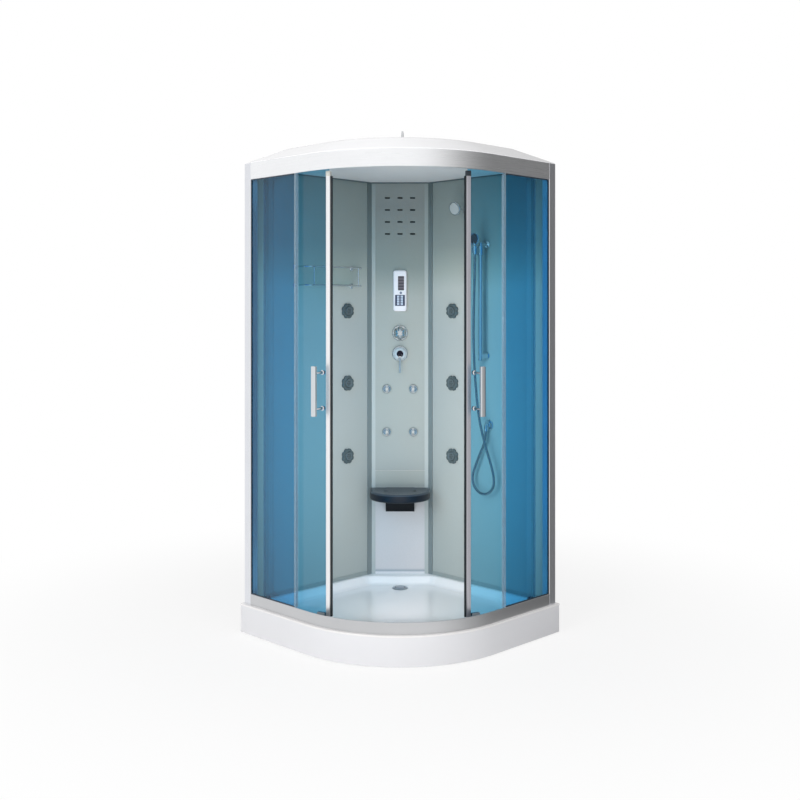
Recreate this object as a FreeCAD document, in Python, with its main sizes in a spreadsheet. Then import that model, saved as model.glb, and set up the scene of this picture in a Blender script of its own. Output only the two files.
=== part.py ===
import FreeCAD, Part

import math
import os

import Sketcher

# Quadrant steam shower enclosure: acrylic tray, curved aluminium frame, two curved sliding doors,
# two frosted walls and a corner column that carries the controls, the nozzles and the seat.
# The origin is on the floor under the middle of the tray, +Z is up and the doors face -Y.
# Most pieces are drawn in the corner frame: its origin is the room corner, x is the distance
# from the right wall and y the distance from the left wall, so every coordinate is positive.

os.makedirs("parts", exist_ok=True)
doc = FreeCAD.newDocument("shower_enclosure")
sheet = doc.addObject("Spreadsheet::Sheet", "Sizes")

# Millimetres, and degrees where the name says angle, turn or tilt.
DRIVING_SIZES = {
    "tray_side": 1000,
    "tray_radius": 550,
    "tray_rim_height": 130,
    "acrylic": 5,
    "tray_lip_depth": 22,
    "basin_front_inset": 104,
    "basin_wall_inset": 44,
    "basin_depth": 38,
    "basin_draft_angle": 20,
    "ledge_depth": 47,
    "drain_from_wall": 216,
    "drain_bore_radius": 30,
    "skirt_inset": 0.5,
    "skirt_sheet": 4,
    "skirt_floor_gap": 4,
    "skirt_flange": 24,
    "support_tube": 25,
    "support_inset": 88,
    "support_side": 672,
    "foot_radius": 26,
    "foot_height": 14,
    "foot_stem_radius": 6,
    "foot_nut_radius": 10,
    "foot_nut_height": 8,
    "trap_radius": 44,
    "trap_floor_gap": 8,
    "trap_outlet_radius": 20,
    "trap_outlet_length": 120,
    "trap_spigot_length": 40,
    "trap_neck_radius": 23,
    "trap_outlet_height": 32,
    "trap_flange_radius": 40,
    "cover_radius": 38,
    "cover_height": 6,
    "cover_rim_height": 2,
    "cover_slot_length": 22,
    "cover_slot_width": 4,
    "cover_slot_pitch": 8,
    "frame_inset": 14,
    "fascia": 4,
    "web": 5,
    "edge_bevel": 2,
    "wide_bevel": 4,
    "rail_height": 48,
    "rail_depth": 76,
    "glazing_slot": 8,
    "glazing_rib": 3,
    "rail_lip_height": 18,
    "header_top": 2070,
    "header_height": 71,
    "header_depth": 124,
    "header_rib_height": 14,
    "header_lip_height": 30,
    "post_width": 44,
    "post_depth": 40,
    "glass": 6,
    "glass_clearance": 1,
    "glass_bite": 8,
    "fixed_glass_reach": 366,
    "gasket_width": 5,
    "gasket_thickness": 3,
    "edge_seal_width": 10,
    "edge_seal_wall": 3,
    "wall_panel": 6,
    "wall_panel_gap": 0.5,
    "wall_panel_start": 232,
    "wall_trim_height": 18,
    "wall_trim_wall": 2,
    "column_face": 175,
    "column_half_width": 137,
    "column_panel": 4,
    "column_joint_height": 637,
    "column_joint_gap": 1,
    "corner_leg": 18,
    "corner_wall": 4,
    "corner_tail": 26,
    "ceiling_height": 2052,
    "ceiling": 3,
    "ceiling_gap": 1,
    "roof_flange": 3,
    "roof_wall": 4,
    "roof_shoulder_inset": 112,
    "roof_shoulder_height": 54,
    "roof_crown_inset": 176,
    "roof_crown_height": 62,
    "roof_end_run": 49,
    "antenna_offset": 10,
    "antenna_radius": 9,
    "antenna_height": 33,
    "antenna_foot_height": 5.5,
    "antenna_neck_height": 7.3,
    "antenna_neck_radius": 6,
    "antenna_tip_radius": 4.5,
    "antenna_inset": 186,
    "vent_slot_length": 25,
    "vent_slot_height": 8,
    "vent_column_pitch": 62,
    "vent_row_pitch": 59,
    "vent_top": 1977,
    "fan_box_margin": 14,
    "fan_box_depth": 42,
    "fan_box_wall": 3,
    "controller_width": 66,
    "controller_height": 202,
    "controller_depth": 20,
    "controller_corner": 9,
    "controller_edge": 3,
    "controller_middle": 1520,
    "controller_recess": 1.5,
    "screen_width": 30,
    "screen_height": 70,
    "screen_offset": 5,
    "screen_middle": 1557,
    "keypad_width": 48,
    "keypad_height": 54,
    "keypad_middle": 1473,
    "key_width": 12,
    "key_height": 7,
    "key_pitch_x": 15,
    "key_pitch_z": 12,
    "key_rise": 1.5,
    "diverter_height": 1313,
    "mixer_height": 1212,
    "valve_bore_radius": 16,
    "valve_plate_radius": 39,
    "valve_plate_depth": 7,
    "valve_stem_radius": 9,
    "valve_stem_depth": 16,
    "valve_body_radius": 24,
    "valve_body_depth": 46,
    "valve_neck_length": 8,
    "knob_radius": 33,
    "knob_face_share": 0.72,
    "flute_radius": 6.6,
    "flute_reach": 37,
    "knob_length": 30,
    "knob_bore_depth": 10,
    "mixer_cap_radius": 33,
    "mixer_cap_length": 34,
    "cap_foot_radius_share": 0.92,
    "cap_side_start_share": 0.25,
    "cap_side_end_share": 0.55,
    "cap_shoulder_radius_share": 0.8,
    "cap_shoulder_share": 0.85,
    "cap_top_radius_share": 0.45,
    "lever_slot_width": 14,
    "lever_slot_depth": 16,
    "lever_slot_start": 1.3,
    "lever_radius": 5,
    "lever_length": 74,
    "lever_tip_radius": 6,
    "lever_hub_radius": 6.5,
    "lever_pin_setback": 9,
    "lever_rest_angle": 12,
    "nozzle_offset": 65,
    "nozzle_upper": 1038,
    "nozzle_lower": 827,
    "nozzle_radius": 23,
    "nozzle_depth": 9,
    "nozzle_tip_radius": 10,
    "nozzle_tip_depth": 15,
    "nozzle_spout_share": 0.8,
    "nozzle_dish_depth_share": 0.6,
    "nozzle_dish_radius_share": 0.7,
    "nozzle_rim_radius_share": 0.8,
    "nozzle_edge_depth_share": 0.4,
    "nozzle_bore_radius": 8,
    "jet_from_corner": 382.5,
    "jet_upper": 1421,
    "jet_middle": 1074,
    "jet_lower": 723,
    "jet_radius": 37,
    "jet_ring_depth": 13,
    "jet_scallop_radius": 13,
    "jet_scallop_reach": 45,
    "jet_ball_radius": 21,
    "jet_ball_height": 8,
    "jet_back_height": 4.6,
    "jet_face_depth": 17,
    "jet_hole_radius": 2.5,
    "jet_hole_circle": 7,
    "jet_hole_depth": 4,
    "running_gap": 0.4,
    "seat_width": 290,
    "seat_reach": 280,
    "seat_thickness": 40,
    "seat_top": 562,
    "seat_round": 9,
    "seat_back_gap": 3,
    "seat_axis_drop": 20,
    "seat_axis_out": 26,
    "seat_lug_half": 12,
    "seat_lug_width": 18,
    "seat_lug_offset": 40,
    "seat_pin_radius": 5,
    "seat_pin_gap": 0.05,
    "bracket_width": 140,
    "bracket_height": 118,
    "bracket_plate": 6,
    "bracket_reach": 112,
    "bracket_lip": 12,
    "shelf_start": 356,
    "shelf_length": 350,
    "shelf_reach": 92,
    "shelf_bend": 38,
    "shelf_wire_radius": 4,
    "shelf_upright_radius": 3.2,
    "shelf_lower": 1540,
    "shelf_upper": 1625,
    "shelf_plate": 5,
    "shelf_cup_radius": 13,
    "shelf_cup_depth": 7,
    "riser_from_corner": 598.7,
    "riser_stand_off": 48,
    "riser_radius": 10,
    "riser_bottom": 1190,
    "riser_top": 1740,
    "riser_bracket_radius": 12,
    "riser_upper_arm_radius": 5.4,
    "riser_rose_radius": 16.8,
    "riser_rose_depth": 6,
    "riser_bracket_inset": 22,
    "slider_radius": 18,
    "slider_height": 40,
    "slider_middle": 1700,
    "slider_gap": 0.3,
    "handset_offset": 40,
    "holder_radius": 16,
    "holder_height": 22,
    "holder_slot": 13,
    "holder_arm_half": 8.8,
    "handle_radius": 10,
    "handle_foot": 1682,
    "handle_top": 1742,
    "handle_collar": 6,
    "nut_radius": 9.5,
    "nut_length": 16,
    "handset_head_radius": 29,
    "handset_head_depth": 17,
    "handset_face_radius": 23,
    "handset_head_angle": 92,
    "handset_head_rise": 11,
    "handset_head_out": 6.8,
    "handset_back_share": 0.55,
    "handset_side_share": 0.9,
    "handset_side_depth_share": 0.45,
    "handset_edge_depth_share": 0.1,
    "handset_front_share": 0.95,
    "handset_face_depth": 2,
    "elbow_height": 890,
    "elbow_from_corner": 611,
    "elbow_stand_off": 25.5,
    "elbow_radius": 9,
    "elbow_flange_radius": 25,
    "elbow_flange_depth": 6,
    "elbow_outlet": 859.5,
    "hose_radius": 6,
    "head_from_corner": 469,
    "head_height": 1896,
    "head_reach": 62,
    "head_rise": 12,
    "head_arm_radius": 6,
    "head_flange_radius": 22,
    "head_flange_depth": 6,
    "head_ball_radius": 12,
    "head_collar_radius": 16,
    "head_radius": 33,
    "head_disc_depth": 9,
    "head_neck_depth": 13,
    "head_face_share": 0.86,
    "head_front_depth_share": 0.3,
    "head_back_depth_share": 0.7,
    "head_shoulder_depth_share": 1.4,
    "collar_depth_share": 0.35,
    "neck_radius_share": 0.6,
    "neck_depth_share": 0.4,
    "head_face_angle": 15,
    "manifold_radius": 11,
    "manifold_from_face": 74,
    "manifold_spacing": 104,
    "inlet_radius": 10.5,
    "inlet_length": 26,
    "inlet_collar_radius": 13,
    "inlet_collar_length": 10,
    "inlet_height": 1150,
    "cross_pipe_radius": 7.2,
    "tail_pipe_radius": 9.6,
    "screw_head_radius": 5.5,
    "screw_head_height": 2.5,
    "screw_top_radius": 3.8,
    "screw_on_rail_share": 0.62,
    "screw_on_post_share": 0.6,
    "pole_across": 107,
    "pole_behind": 269.2,
    "pane_radius": 587,
    "pane_setback": 56,
    "pane_length": 470,
    "pane_bottom": 158,
    "pane_top": 2044,
    "right_open_angle": 21.3,
    "left_open_angle": 22.5,
    "meeting_gap": 1,
    "magnet_width": 7,
    "magnet_depth": 9,
    "stile_width": 20,
    "stile_depth": 15,
    "stile_bottom": 160,
    "stile_top": 1978,
    "stile_bite": 12,
    "stopper_height": 22,
    "fin_length": 12,
    "fin_thickness": 4,
    "handle_setback": 46,
    "handle_middle": 1092,
    "handle_length": 206,
    "handle_pitch": 148,
    "handle_width": 21,
    "handle_bar": 14,
    "handle_stand_off": 63,
    "handle_post_radius": 5.5,
    "handle_rose_radius": 10,
    "handle_rose_depth": 4,
    "handle_bolt_radius": 4,
    "handle_hole_radius": 5,
    "track_radius": 740,
    "track_outer": 749,
    "track_inner": 726,
    "track_wall": 3,
    "track_rib_width": 3,
    "track_rib_height": 3,
    "track_start_angle": 81.3,
    "track_end_angle": 26.2,
    "wheel_radius": 11,
    "wheel_width": 10,
    "wheel_groove_radius": 9,
    "wheel_groove_width": 4.4,
    "wheel_bore_radius": 3.05,
    "axle_radius": 3,
    "axle_height": 2028.3,
    "axle_head_radius": 5,
    "axle_head_width": 2,
    "front_wheel_angle": 78.5,
    "rear_wheel_angle": 50.9,
    "rolling_gap": 0.3,
    "carrier_inset": 45,
    "guide_inset": 52,
    "carrier_width": 36,
    "carrier_drop": 32,
    "carrier_cheek": 4,
    "carrier_back": 8,
    "carrier_cap": 5,
    "carrier_slot_gap": 0.6,
    "guide_height": 14,
    "guide_cap": 6,
    "guide_cheek": 3.2,
    "guide_fin_drop": 12,
    "guide_fin_width": 8,
    "overrun": 20,
}

for row, (name, value) in enumerate(DRIVING_SIZES.items(), start=1):
    sheet.set(f"A{row}", name)
    sheet.set(f"B{row}", str(value))
    sheet.setAlias(f"B{row}", name)
doc.recompute()


class Size:
    """A size from the sheet, or one worked out from such sizes, with the formula that binds to it."""

    def __init__(self, value, formula):
        self.value = value
        self.formula = formula

    def join(self, other, sign, value):
        return Size(value, f"({self.formula} {sign} {other.formula})")

    def __add__(self, other):
        other = as_size(other)
        return self.join(other, "+", self.value + other.value)

    def __sub__(self, other):
        other = as_size(other)
        return self.join(other, "-", self.value - other.value)

    def __mul__(self, other):
        other = as_size(other)
        return self.join(other, "*", self.value * other.value)

    def __truediv__(self, other):
        other = as_size(other)
        return self.join(other, "/", self.value / other.value)

    def __neg__(self):
        return Size(-self.value, f"(-1 * {self.formula})")

    __radd__ = __add__
    __rmul__ = __mul__

    def __rsub__(self, other):
        return as_size(other) - self


def as_size(number):
    return number if isinstance(number, Size) else Size(number, repr(number))


def cosine(angle):
    return Size(math.cos(math.radians(angle.value)), f"cos({angle.formula})")


def sine(angle):
    return Size(math.sin(math.radians(angle.value)), f"sin({angle.formula})")


def root(size):
    return Size(math.sqrt(size.value), f"sqrt({size.formula})")


class Sheet:
    """Reads a size of the sheet by its alias."""

    def __getattr__(self, alias):
        return Size(float(sheet.get(alias)), f"Sizes.{alias}")


size = Sheet()
ZERO = as_size(0)
ROOT_TWO = as_size(math.sqrt(2))
DEGREES = 180 / math.pi


def bind(thing, path, value):
    """Binds one property of a thing, such as Length or Placement.Base.z, to a size."""
    thing.setExpression(path, as_size(value).formula)


def place(thing, x=ZERO, y=ZERO, z=ZERO, turn=ZERO, axis=(0, 0, 1)):
    """Puts a thing at x, y, z, turned by an angle about an axis through its own origin."""
    x, y, z, turn = as_size(x), as_size(y), as_size(z), as_size(turn)
    position = FreeCAD.Vector(x.value, y.value, z.value)
    thing.Placement = FreeCAD.Placement(position, FreeCAD.Rotation(FreeCAD.Vector(*axis), turn.value))
    for letter, value in (("x", x), ("y", y), ("z", z)):
        bind(thing, f"Placement.Base.{letter}", value)
    if "Sizes" in turn.formula:
        bind(thing, "Placement.Rotation.Angle", turn)
    return thing


def new_body(name):
    body = doc.addObject("PartDesign::Body", name)
    body.Label = name
    return body


def new_sketch(body, plane, lift=ZERO):
    """A sketch on one of the body's own planes, moved along that plane's normal by lift."""
    sketch = body.newObject("Sketcher::SketchObject", body.Name + "_sketch")
    origin_plane = next(part for part in body.Origin.OriginFeatures if part.Role == plane)
    sketch.AttachmentSupport = [(origin_plane, "")]
    sketch.MapMode = "FlatFace"
    bind(sketch, "AttachmentOffset.Base.z", lift)
    return sketch


def constrain(sketch, kind, *where, value):
    index = sketch.addConstraint(Sketcher.Constraint(kind, *where, value.value))
    sketch.setExpression(f"Constraints[{index}]", value.formula)


def arc_between(start, end, radius, centre_on_left):
    """The circle arc from start to end, and whether its own first point is the start."""
    middle = (start + end) * 0.5
    chord = end - start
    reach = math.sqrt(max(radius**2 - (chord.Length / 2) ** 2, 0))
    left = FreeCAD.Vector(-chord.y, chord.x, 0).normalize()
    centre = middle + left * (reach if centre_on_left else -reach)
    circle = Part.Circle(centre, FreeCAD.Vector(0, 0, 1), radius)
    first, last = (start, end) if centre_on_left else (end, start)
    angles = [math.atan2(p.y - centre.y, p.x - centre.x) for p in (first, last)]
    return Part.ArcOfCircle(circle, angles[0], angles[1])


def outline(sketch, corners, arcs=None):
    """A closed outline through the corners. arcs gives, by the number of the corner that starts
    it, the radius of a side that is an arc and whether its centre is on the left of the way."""
    arcs = arcs or {}
    corners = [(as_size(x), as_size(y)) for x, y in corners]
    points = [FreeCAD.Vector(x.value, y.value, 0) for x, y in corners]
    count = len(points)
    first, last = [], []
    base = sketch.GeometryCount
    for number in range(count):
        start, end = points[number], points[(number + 1) % count]
        if number in arcs:
            radius, on_left = as_size(arcs[number][0]), arcs[number][1]
            sketch.addGeometry(arc_between(start, end, radius.value, on_left), False)
            first.append(1 if on_left else 2)
            last.append(2 if on_left else 1)
        else:
            sketch.addGeometry(Part.LineSegment(start, end), False)
            first.append(1)
            last.append(2)
    for number in range(count):
        after = (number + 1) % count
        joint = Sketcher.Constraint("Coincident", base + number, last[number], base + after, first[after])
        sketch.addConstraint(joint)
    for number, (x, y) in enumerate(corners):
        constrain(sketch, "DistanceX", -1, 1, base + number, first[number], value=x)
        constrain(sketch, "DistanceY", -1, 1, base + number, first[number], value=y)
    for number, (radius, _) in arcs.items():
        constrain(sketch, "Radius", base + number, value=as_size(radius))


def circle(sketch, x, y, radius):
    x, y, radius = as_size(x), as_size(y), as_size(radius)
    centre = FreeCAD.Vector(x.value, y.value, 0)
    sketch.addGeometry(Part.Circle(centre, FreeCAD.Vector(0, 0, 1), radius.value), False)
    number = sketch.GeometryCount - 1
    constrain(sketch, "DistanceX", -1, 1, number, 3, value=x)
    constrain(sketch, "DistanceY", -1, 1, number, 3, value=y)
    constrain(sketch, "Radius", number, value=radius)


def rectangle(sketch, x_low, y_low, x_high, y_high):
    outline(sketch, [(x_low, y_low), (x_high, y_low), (x_high, y_high), (x_low, y_high)])


def rounded_rectangle(sketch, x_low, y_low, x_high, y_high, corner):
    corners = [
        (x_low + corner, y_low),
        (x_high - corner, y_low),
        (x_high, y_low + corner),
        (x_high, y_high - corner),
        (x_high - corner, y_high),
        (x_low + corner, y_high),
        (x_low, y_high - corner),
        (x_low, y_low + corner),
    ]
    outline(sketch, corners, {side: (corner, True) for side in (1, 3, 5, 7)})


def pad(body, sketch, length, draft=None, backwards=False):
    feature = body.newObject("PartDesign::Pad", body.Name + "_pad")
    feature.Profile = sketch
    feature.Reversed = backwards
    bind(feature, "Length", length)
    if draft is not None:
        bind(feature, "TaperAngle", draft)
    return feature


def pocket(body, sketch, depth, draft=None, backwards=False):
    feature = body.newObject("PartDesign::Pocket", body.Name + "_pocket")
    feature.Profile = sketch
    feature.Reversed = backwards
    bind(feature, "Length", depth)
    if draft is not None:
        bind(feature, "TaperAngle", draft)
    return feature


def revolve(body, sketch, axis="V_Axis", angle=as_size(360), cut=False):
    kind = "PartDesign::Groove" if cut else "PartDesign::Revolution"
    feature = body.newObject(kind, body.Name + "_turned")
    feature.Profile = sketch
    feature.ReferenceAxis = (sketch, [axis])
    bind(feature, "Angle", angle)
    return feature


def turned_body(name, half_profile, axis="V_Axis"):
    """A body turned about its own z axis, or about x with H_Axis, from a half profile in x and z."""
    body = new_body(name)
    sketch = new_sketch(body, "XZ_Plane")
    outline(sketch, half_profile)
    revolve(body, sketch, axis)
    return body


def joined(name, pieces):
    """One solid made of touching or overlapping pieces."""
    union = doc.addObject("Part::MultiFuse", name)
    union.Label = name
    union.Shapes = pieces
    return union


def cut_from(name, base, tools):
    drilled = doc.addObject("Part::Cut", name)
    drilled.Label = name
    drilled.Base = base
    drilled.Tool = tools[0] if len(tools) == 1 else joined(name + "_tools", tools)
    return drilled


def group(name, pieces):
    """Like pieces that stay separate solids and share one node."""
    compound = doc.addObject("Part::Compound", name)
    compound.Label = name
    compound.Links = pieces
    return compound


def mirrored(name, piece):
    """The left-hand twin of a right-hand piece."""
    twin = doc.addObject("Part::Mirroring", name)
    twin.Label = name
    twin.Source = piece
    twin.Base = FreeCAD.Vector(0, 0, 0)
    twin.Normal = FreeCAD.Vector(1, 0, 0)
    return twin


def rod(name, radius, length):
    """A plain round bar along its own z axis."""
    bar = doc.addObject("Part::Cylinder", name)
    bind(bar, "Radius", radius)
    bind(bar, "Height", length)
    return bar


def ball(name, radius):
    sphere = doc.addObject("Part::Sphere", name)
    bind(sphere, "Radius", radius)
    return sphere


def block(name, length, width, height):
    box = doc.addObject("Part::Box", name)
    box.Label = name
    bind(box, "Length", length)
    bind(box, "Width", width)
    bind(box, "Height", height)
    return box


NODES = []


def node(piece):
    """Lists a finished sub-part for the export."""
    NODES.append(piece)
    return piece


# Places that several pieces share
STRAIGHT = size.tray_side - size.tray_radius
CORNER_Y = (STRAIGHT * ROOT_TWO + size.tray_radius) / 2
ARC_MIDDLE_Y = CORNER_Y - STRAIGHT * ROOT_TWO
CORNER_TURN = as_size(-135)
FRAME_FACE = size.tray_side - size.frame_inset
FRAME_RADIUS = size.tray_radius - size.frame_inset
RIM = size.tray_rim_height
RAIL_TOP = RIM + size.rail_height
HEADER_BOTTOM = size.header_top - size.header_height
WALL_BACK = size.frame_inset + size.wall_trim_wall + size.wall_panel_gap
WALL_FACE = WALL_BACK + size.wall_panel
POST_INNER = size.frame_inset + size.post_width
COLUMN_FACE_Y = CORNER_Y - size.column_face


def in_corner(thing, x=ZERO, y=ZERO, z=ZERO):
    """Places a thing that is drawn in the corner frame, at x, y and z of that frame."""
    across = (y - x) / ROOT_TWO
    back = CORNER_Y - (x + y) / ROOT_TWO
    return place(thing, across, back, z, CORNER_TURN)


def quadrant(sketch, front_inset, wall_inset, corner_cut=None):
    """The tray's plan: two walls, two straight legs and the quarter arc between them."""
    far = size.tray_side - front_inset
    corners = [
        (far, wall_inset),
        (far, STRAIGHT),
        (STRAIGHT, far),
        (wall_inset, far),
    ]
    if corner_cut is None:
        corners.append((wall_inset, wall_inset))
    else:
        corners.append((wall_inset, corner_cut - wall_inset))
        corners.append((corner_cut - wall_inset, wall_inset))
    outline(sketch, corners, {1: (size.tray_radius - front_inset, True)})


def band(sketch, outer_inset, inner_inset, wall_inset):
    """A strip that follows the legs and the arc of the tray's front between two insets."""
    outer, inner = size.tray_side - outer_inset, size.tray_side - inner_inset
    corners = [
        (outer, wall_inset),
        (outer, STRAIGHT),
        (STRAIGHT, outer),
        (wall_inset, outer),
        (wall_inset, inner),
        (STRAIGHT, inner),
        (inner, STRAIGHT),
        (inner, wall_inset),
    ]
    arcs = {1: (size.tray_radius - outer_inset, True), 5: (size.tray_radius - inner_inset, False)}
    outline(sketch, corners, arcs)


def shower_tray():
    """Vacuum-formed acrylic tray: deck with a turned-down lip, drafted basin and drain hole."""
    body = new_body("shower_tray")
    ledge = (size.column_face + size.ledge_depth) * ROOT_TWO
    sketch = new_sketch(body, "XY_Plane", RIM - size.tray_lip_depth)
    quadrant(sketch, ZERO, ZERO)
    pad(body, sketch, size.tray_lip_depth)
    sketch = new_sketch(body, "XY_Plane", RIM - size.tray_lip_depth)
    quadrant(sketch, size.acrylic, size.acrylic)
    pocket(body, sketch, size.tray_lip_depth - size.acrylic, backwards=True)
    tub_top = RIM - size.acrylic / 2
    tub_bottom = RIM - size.basin_depth - size.acrylic
    sketch = new_sketch(body, "XY_Plane", tub_top)
    quadrant(sketch, size.basin_front_inset - size.acrylic, size.basin_wall_inset - size.acrylic, ledge)
    pad(body, sketch, tub_top - tub_bottom, -size.basin_draft_angle, backwards=True)
    sketch = new_sketch(body, "XY_Plane", RIM)
    quadrant(sketch, size.basin_front_inset, size.basin_wall_inset, ledge + size.acrylic)
    pocket(body, sketch, size.basin_depth, -size.basin_draft_angle)
    sketch = new_sketch(body, "XY_Plane", RIM)
    circle(sketch, size.drain_from_wall, size.drain_from_wall, size.drain_bore_radius)
    pocket(body, sketch, size.basin_depth + size.overrun)
    return in_corner(body)


def tray_skirt():
    """Curved front apron that hangs under the tray's lip, with a stiffening flange at its foot."""
    body = new_body("tray_skirt")
    height = RIM - size.tray_lip_depth - size.skirt_floor_gap
    sketch = new_sketch(body, "XY_Plane", size.skirt_floor_gap)
    band(sketch, size.skirt_inset, size.skirt_inset + size.skirt_sheet, size.frame_inset)
    pad(body, sketch, height)
    sketch = new_sketch(body, "XY_Plane", size.skirt_floor_gap)
    band(sketch, size.skirt_inset, size.skirt_inset + size.skirt_flange, size.frame_inset)
    pad(body, sketch, size.skirt_sheet)
    return in_corner(body)


SUPPORT_TOP = RIM - size.basin_depth - size.acrylic
SUPPORT_BOTTOM = SUPPORT_TOP - size.support_tube
SUPPORT_FAR = size.support_inset + size.support_side
SUPPORT_MIDDLE = size.support_inset + size.support_side / 2
HALF_TUBE = size.support_tube / 2


def tray_frame():
    """Welded square-tube frame under the basin, with a cross tube behind the drain."""
    body = new_body("tray_frame")
    sketch = new_sketch(body, "XY_Plane", SUPPORT_BOTTOM)
    rectangle(sketch, size.support_inset, size.support_inset, SUPPORT_FAR, SUPPORT_FAR)
    pad(body, sketch, size.support_tube)
    near = size.support_inset + size.support_tube
    far = SUPPORT_FAR - size.support_tube
    sketch = new_sketch(body, "XY_Plane", SUPPORT_TOP)
    rectangle(sketch, near, near, far, SUPPORT_MIDDLE - HALF_TUBE)
    rectangle(sketch, near, SUPPORT_MIDDLE + HALF_TUBE, far, far)
    pocket(body, sketch, size.support_tube)
    return in_corner(body)


def tray_feet():
    """Adjustable feet: a rubber-soled pad, a threaded stem and its lock nut, under the frame."""
    near, far = size.support_inset + HALF_TUBE, SUPPORT_FAR - HALF_TUBE
    places = [(near, near), (far, near), (near, far), (far, far)]
    places += [(near, SUPPORT_MIDDLE), (far, SUPPORT_MIDDLE), (SUPPORT_MIDDLE, SUPPORT_MIDDLE)]
    nut_low = SUPPORT_BOTTOM - size.foot_nut_height
    half_profile = [
        (ZERO, ZERO),
        (size.foot_radius, ZERO),
        (size.foot_radius, size.foot_height / 2),
        (size.foot_nut_radius, size.foot_height),
        (size.foot_stem_radius, size.foot_height),
        (size.foot_stem_radius, nut_low),
        (size.foot_nut_radius, nut_low),
        (size.foot_nut_radius, SUPPORT_BOTTOM),
        (ZERO, SUPPORT_BOTTOM),
    ]
    feet = []
    for number, (x, y) in enumerate(places, start=1):
        foot = turned_body(f"foot_{number}", half_profile)
        feet.append(in_corner(foot, x, y))
    return group("tray_feet", feet)


def waste_trap():
    """Low trap under the drain hole, with its outlet spigot towards the right wall."""
    top = SUPPORT_TOP
    body = turned_body("trap_bowl", [
        (ZERO, size.trap_floor_gap),
        (size.trap_radius - size.edge_bevel, size.trap_floor_gap),
        (size.trap_radius, size.trap_floor_gap + size.edge_bevel),
        (size.trap_radius, top - size.acrylic),
        (size.trap_flange_radius, top - size.acrylic),
        (size.trap_flange_radius, top),
        (size.drain_bore_radius - size.acrylic, top),
        (size.drain_bore_radius - size.acrylic, top - size.basin_depth / 2),
        (ZERO, top - size.basin_depth / 2),
    ])
    neck_length = size.trap_outlet_length - size.trap_spigot_length
    pieces = [body]
    for name, radius, length in (
        ("trap_neck", size.trap_neck_radius, neck_length),
        ("trap_spigot", size.trap_outlet_radius, size.trap_outlet_length),
    ):
        outlet = rod(name, radius, length)
        pieces.append(place(outlet, ZERO, ZERO, size.trap_outlet_height, as_size(-90), (0, 1, 0)))
    return in_corner(joined("waste_trap", pieces), size.drain_from_wall, size.drain_from_wall)


def waste_cover():
    """Domed grate over the drain, slotted all round, on its tail in the drain hole."""
    floor = RIM - size.basin_depth
    tail = size.drain_bore_radius - size.running_gap
    body = turned_body("waste_cover", [
        (ZERO, floor - size.acrylic),
        (tail, floor - size.acrylic),
        (tail, floor),
        (size.cover_radius, floor),
        (size.cover_radius, floor + size.cover_rim_height),
        (size.cover_radius - size.cover_height, floor + size.cover_height),
        (ZERO, floor + size.cover_height),
    ])
    sketch = new_sketch(body, "XY_Plane", floor + size.cover_height)
    for step in range(-2, 3):
        low = step * size.cover_slot_pitch - size.cover_slot_width / 2
        half = size.cover_slot_length / 2
        rectangle(sketch, -half, low, half, low + size.cover_slot_width)
    pocket(body, sketch, size.cover_height + size.overrun)
    return in_corner(body, size.drain_from_wall, size.drain_from_wall)


def swept_rail(name, section, start):
    """An extrusion bent to the front of the tray: its section follows leg, quarter arc and leg."""
    body = new_body(name)
    profile = new_sketch(body, "YZ_Plane", start)
    outline(profile, section)
    path = new_sketch(body, "XY_Plane")
    arc_centre = FreeCAD.Vector(STRAIGHT.value, STRAIGHT.value, 0)
    far, low = FRAME_FACE.value, start.value
    path.addGeometry(Part.LineSegment(
        FreeCAD.Vector(low, far, 0), FreeCAD.Vector(STRAIGHT.value, far, 0)), False)
    quarter = Part.Circle(arc_centre, FreeCAD.Vector(0, 0, 1), FRAME_RADIUS.value)
    path.addGeometry(Part.ArcOfCircle(quarter, 0, math.pi / 2), False)
    path.addGeometry(Part.LineSegment(
        FreeCAD.Vector(far, STRAIGHT.value, 0), FreeCAD.Vector(far, low, 0)), False)
    path.addConstraint(Sketcher.Constraint("Coincident", 0, 2, 1, 2))
    path.addConstraint(Sketcher.Constraint("Coincident", 1, 1, 2, 1))
    constrain(path, "DistanceX", -1, 1, 0, 1, value=start)
    constrain(path, "DistanceY", -1, 1, 0, 1, value=FRAME_FACE)
    constrain(path, "DistanceX", -1, 1, 0, 2, value=STRAIGHT)
    constrain(path, "DistanceY", -1, 1, 0, 2, value=FRAME_FACE)
    constrain(path, "DistanceX", -1, 1, 2, 1, value=FRAME_FACE)
    constrain(path, "DistanceY", -1, 1, 2, 1, value=STRAIGHT)
    constrain(path, "DistanceX", -1, 1, 2, 2, value=FRAME_FACE)
    constrain(path, "DistanceY", -1, 1, 2, 2, value=start)
    constrain(path, "Radius", 1, value=FRAME_RADIUS)
    doc.recompute()
    sweep = body.newObject("PartDesign::AdditivePipe", name + "_sweep")
    sweep.Profile = profile
    sweep.Spine = (path, ["Edge1", "Edge2", "Edge3"])
    return in_corner(body)


def bottom_rail():
    """Bottom rail on the tray's rim: tall fascia, glazing slot and an open channel for the doors."""
    face = FRAME_FACE
    slot_end = face - size.fascia - size.glazing_slot
    rib_end = slot_end - size.glazing_rib
    inner = face - size.rail_depth
    base = RIM + size.web
    bevel = size.edge_bevel
    lip = RIM + size.rail_lip_height
    section = [
        (face, RIM),
        (face, RAIL_TOP - bevel),
        (face - bevel, RAIL_TOP),
        (face - size.fascia, RAIL_TOP),
        (face - size.fascia, base),
        (slot_end, base),
        (slot_end, lip),
        (rib_end, lip),
        (rib_end, base),
        (inner + size.fascia, base),
        (inner + size.fascia, lip),
        (inner + bevel, lip),
        (inner, lip - bevel),
        (inner, RIM),
    ]
    return swept_rail("bottom_rail", section, POST_INNER)


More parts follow.
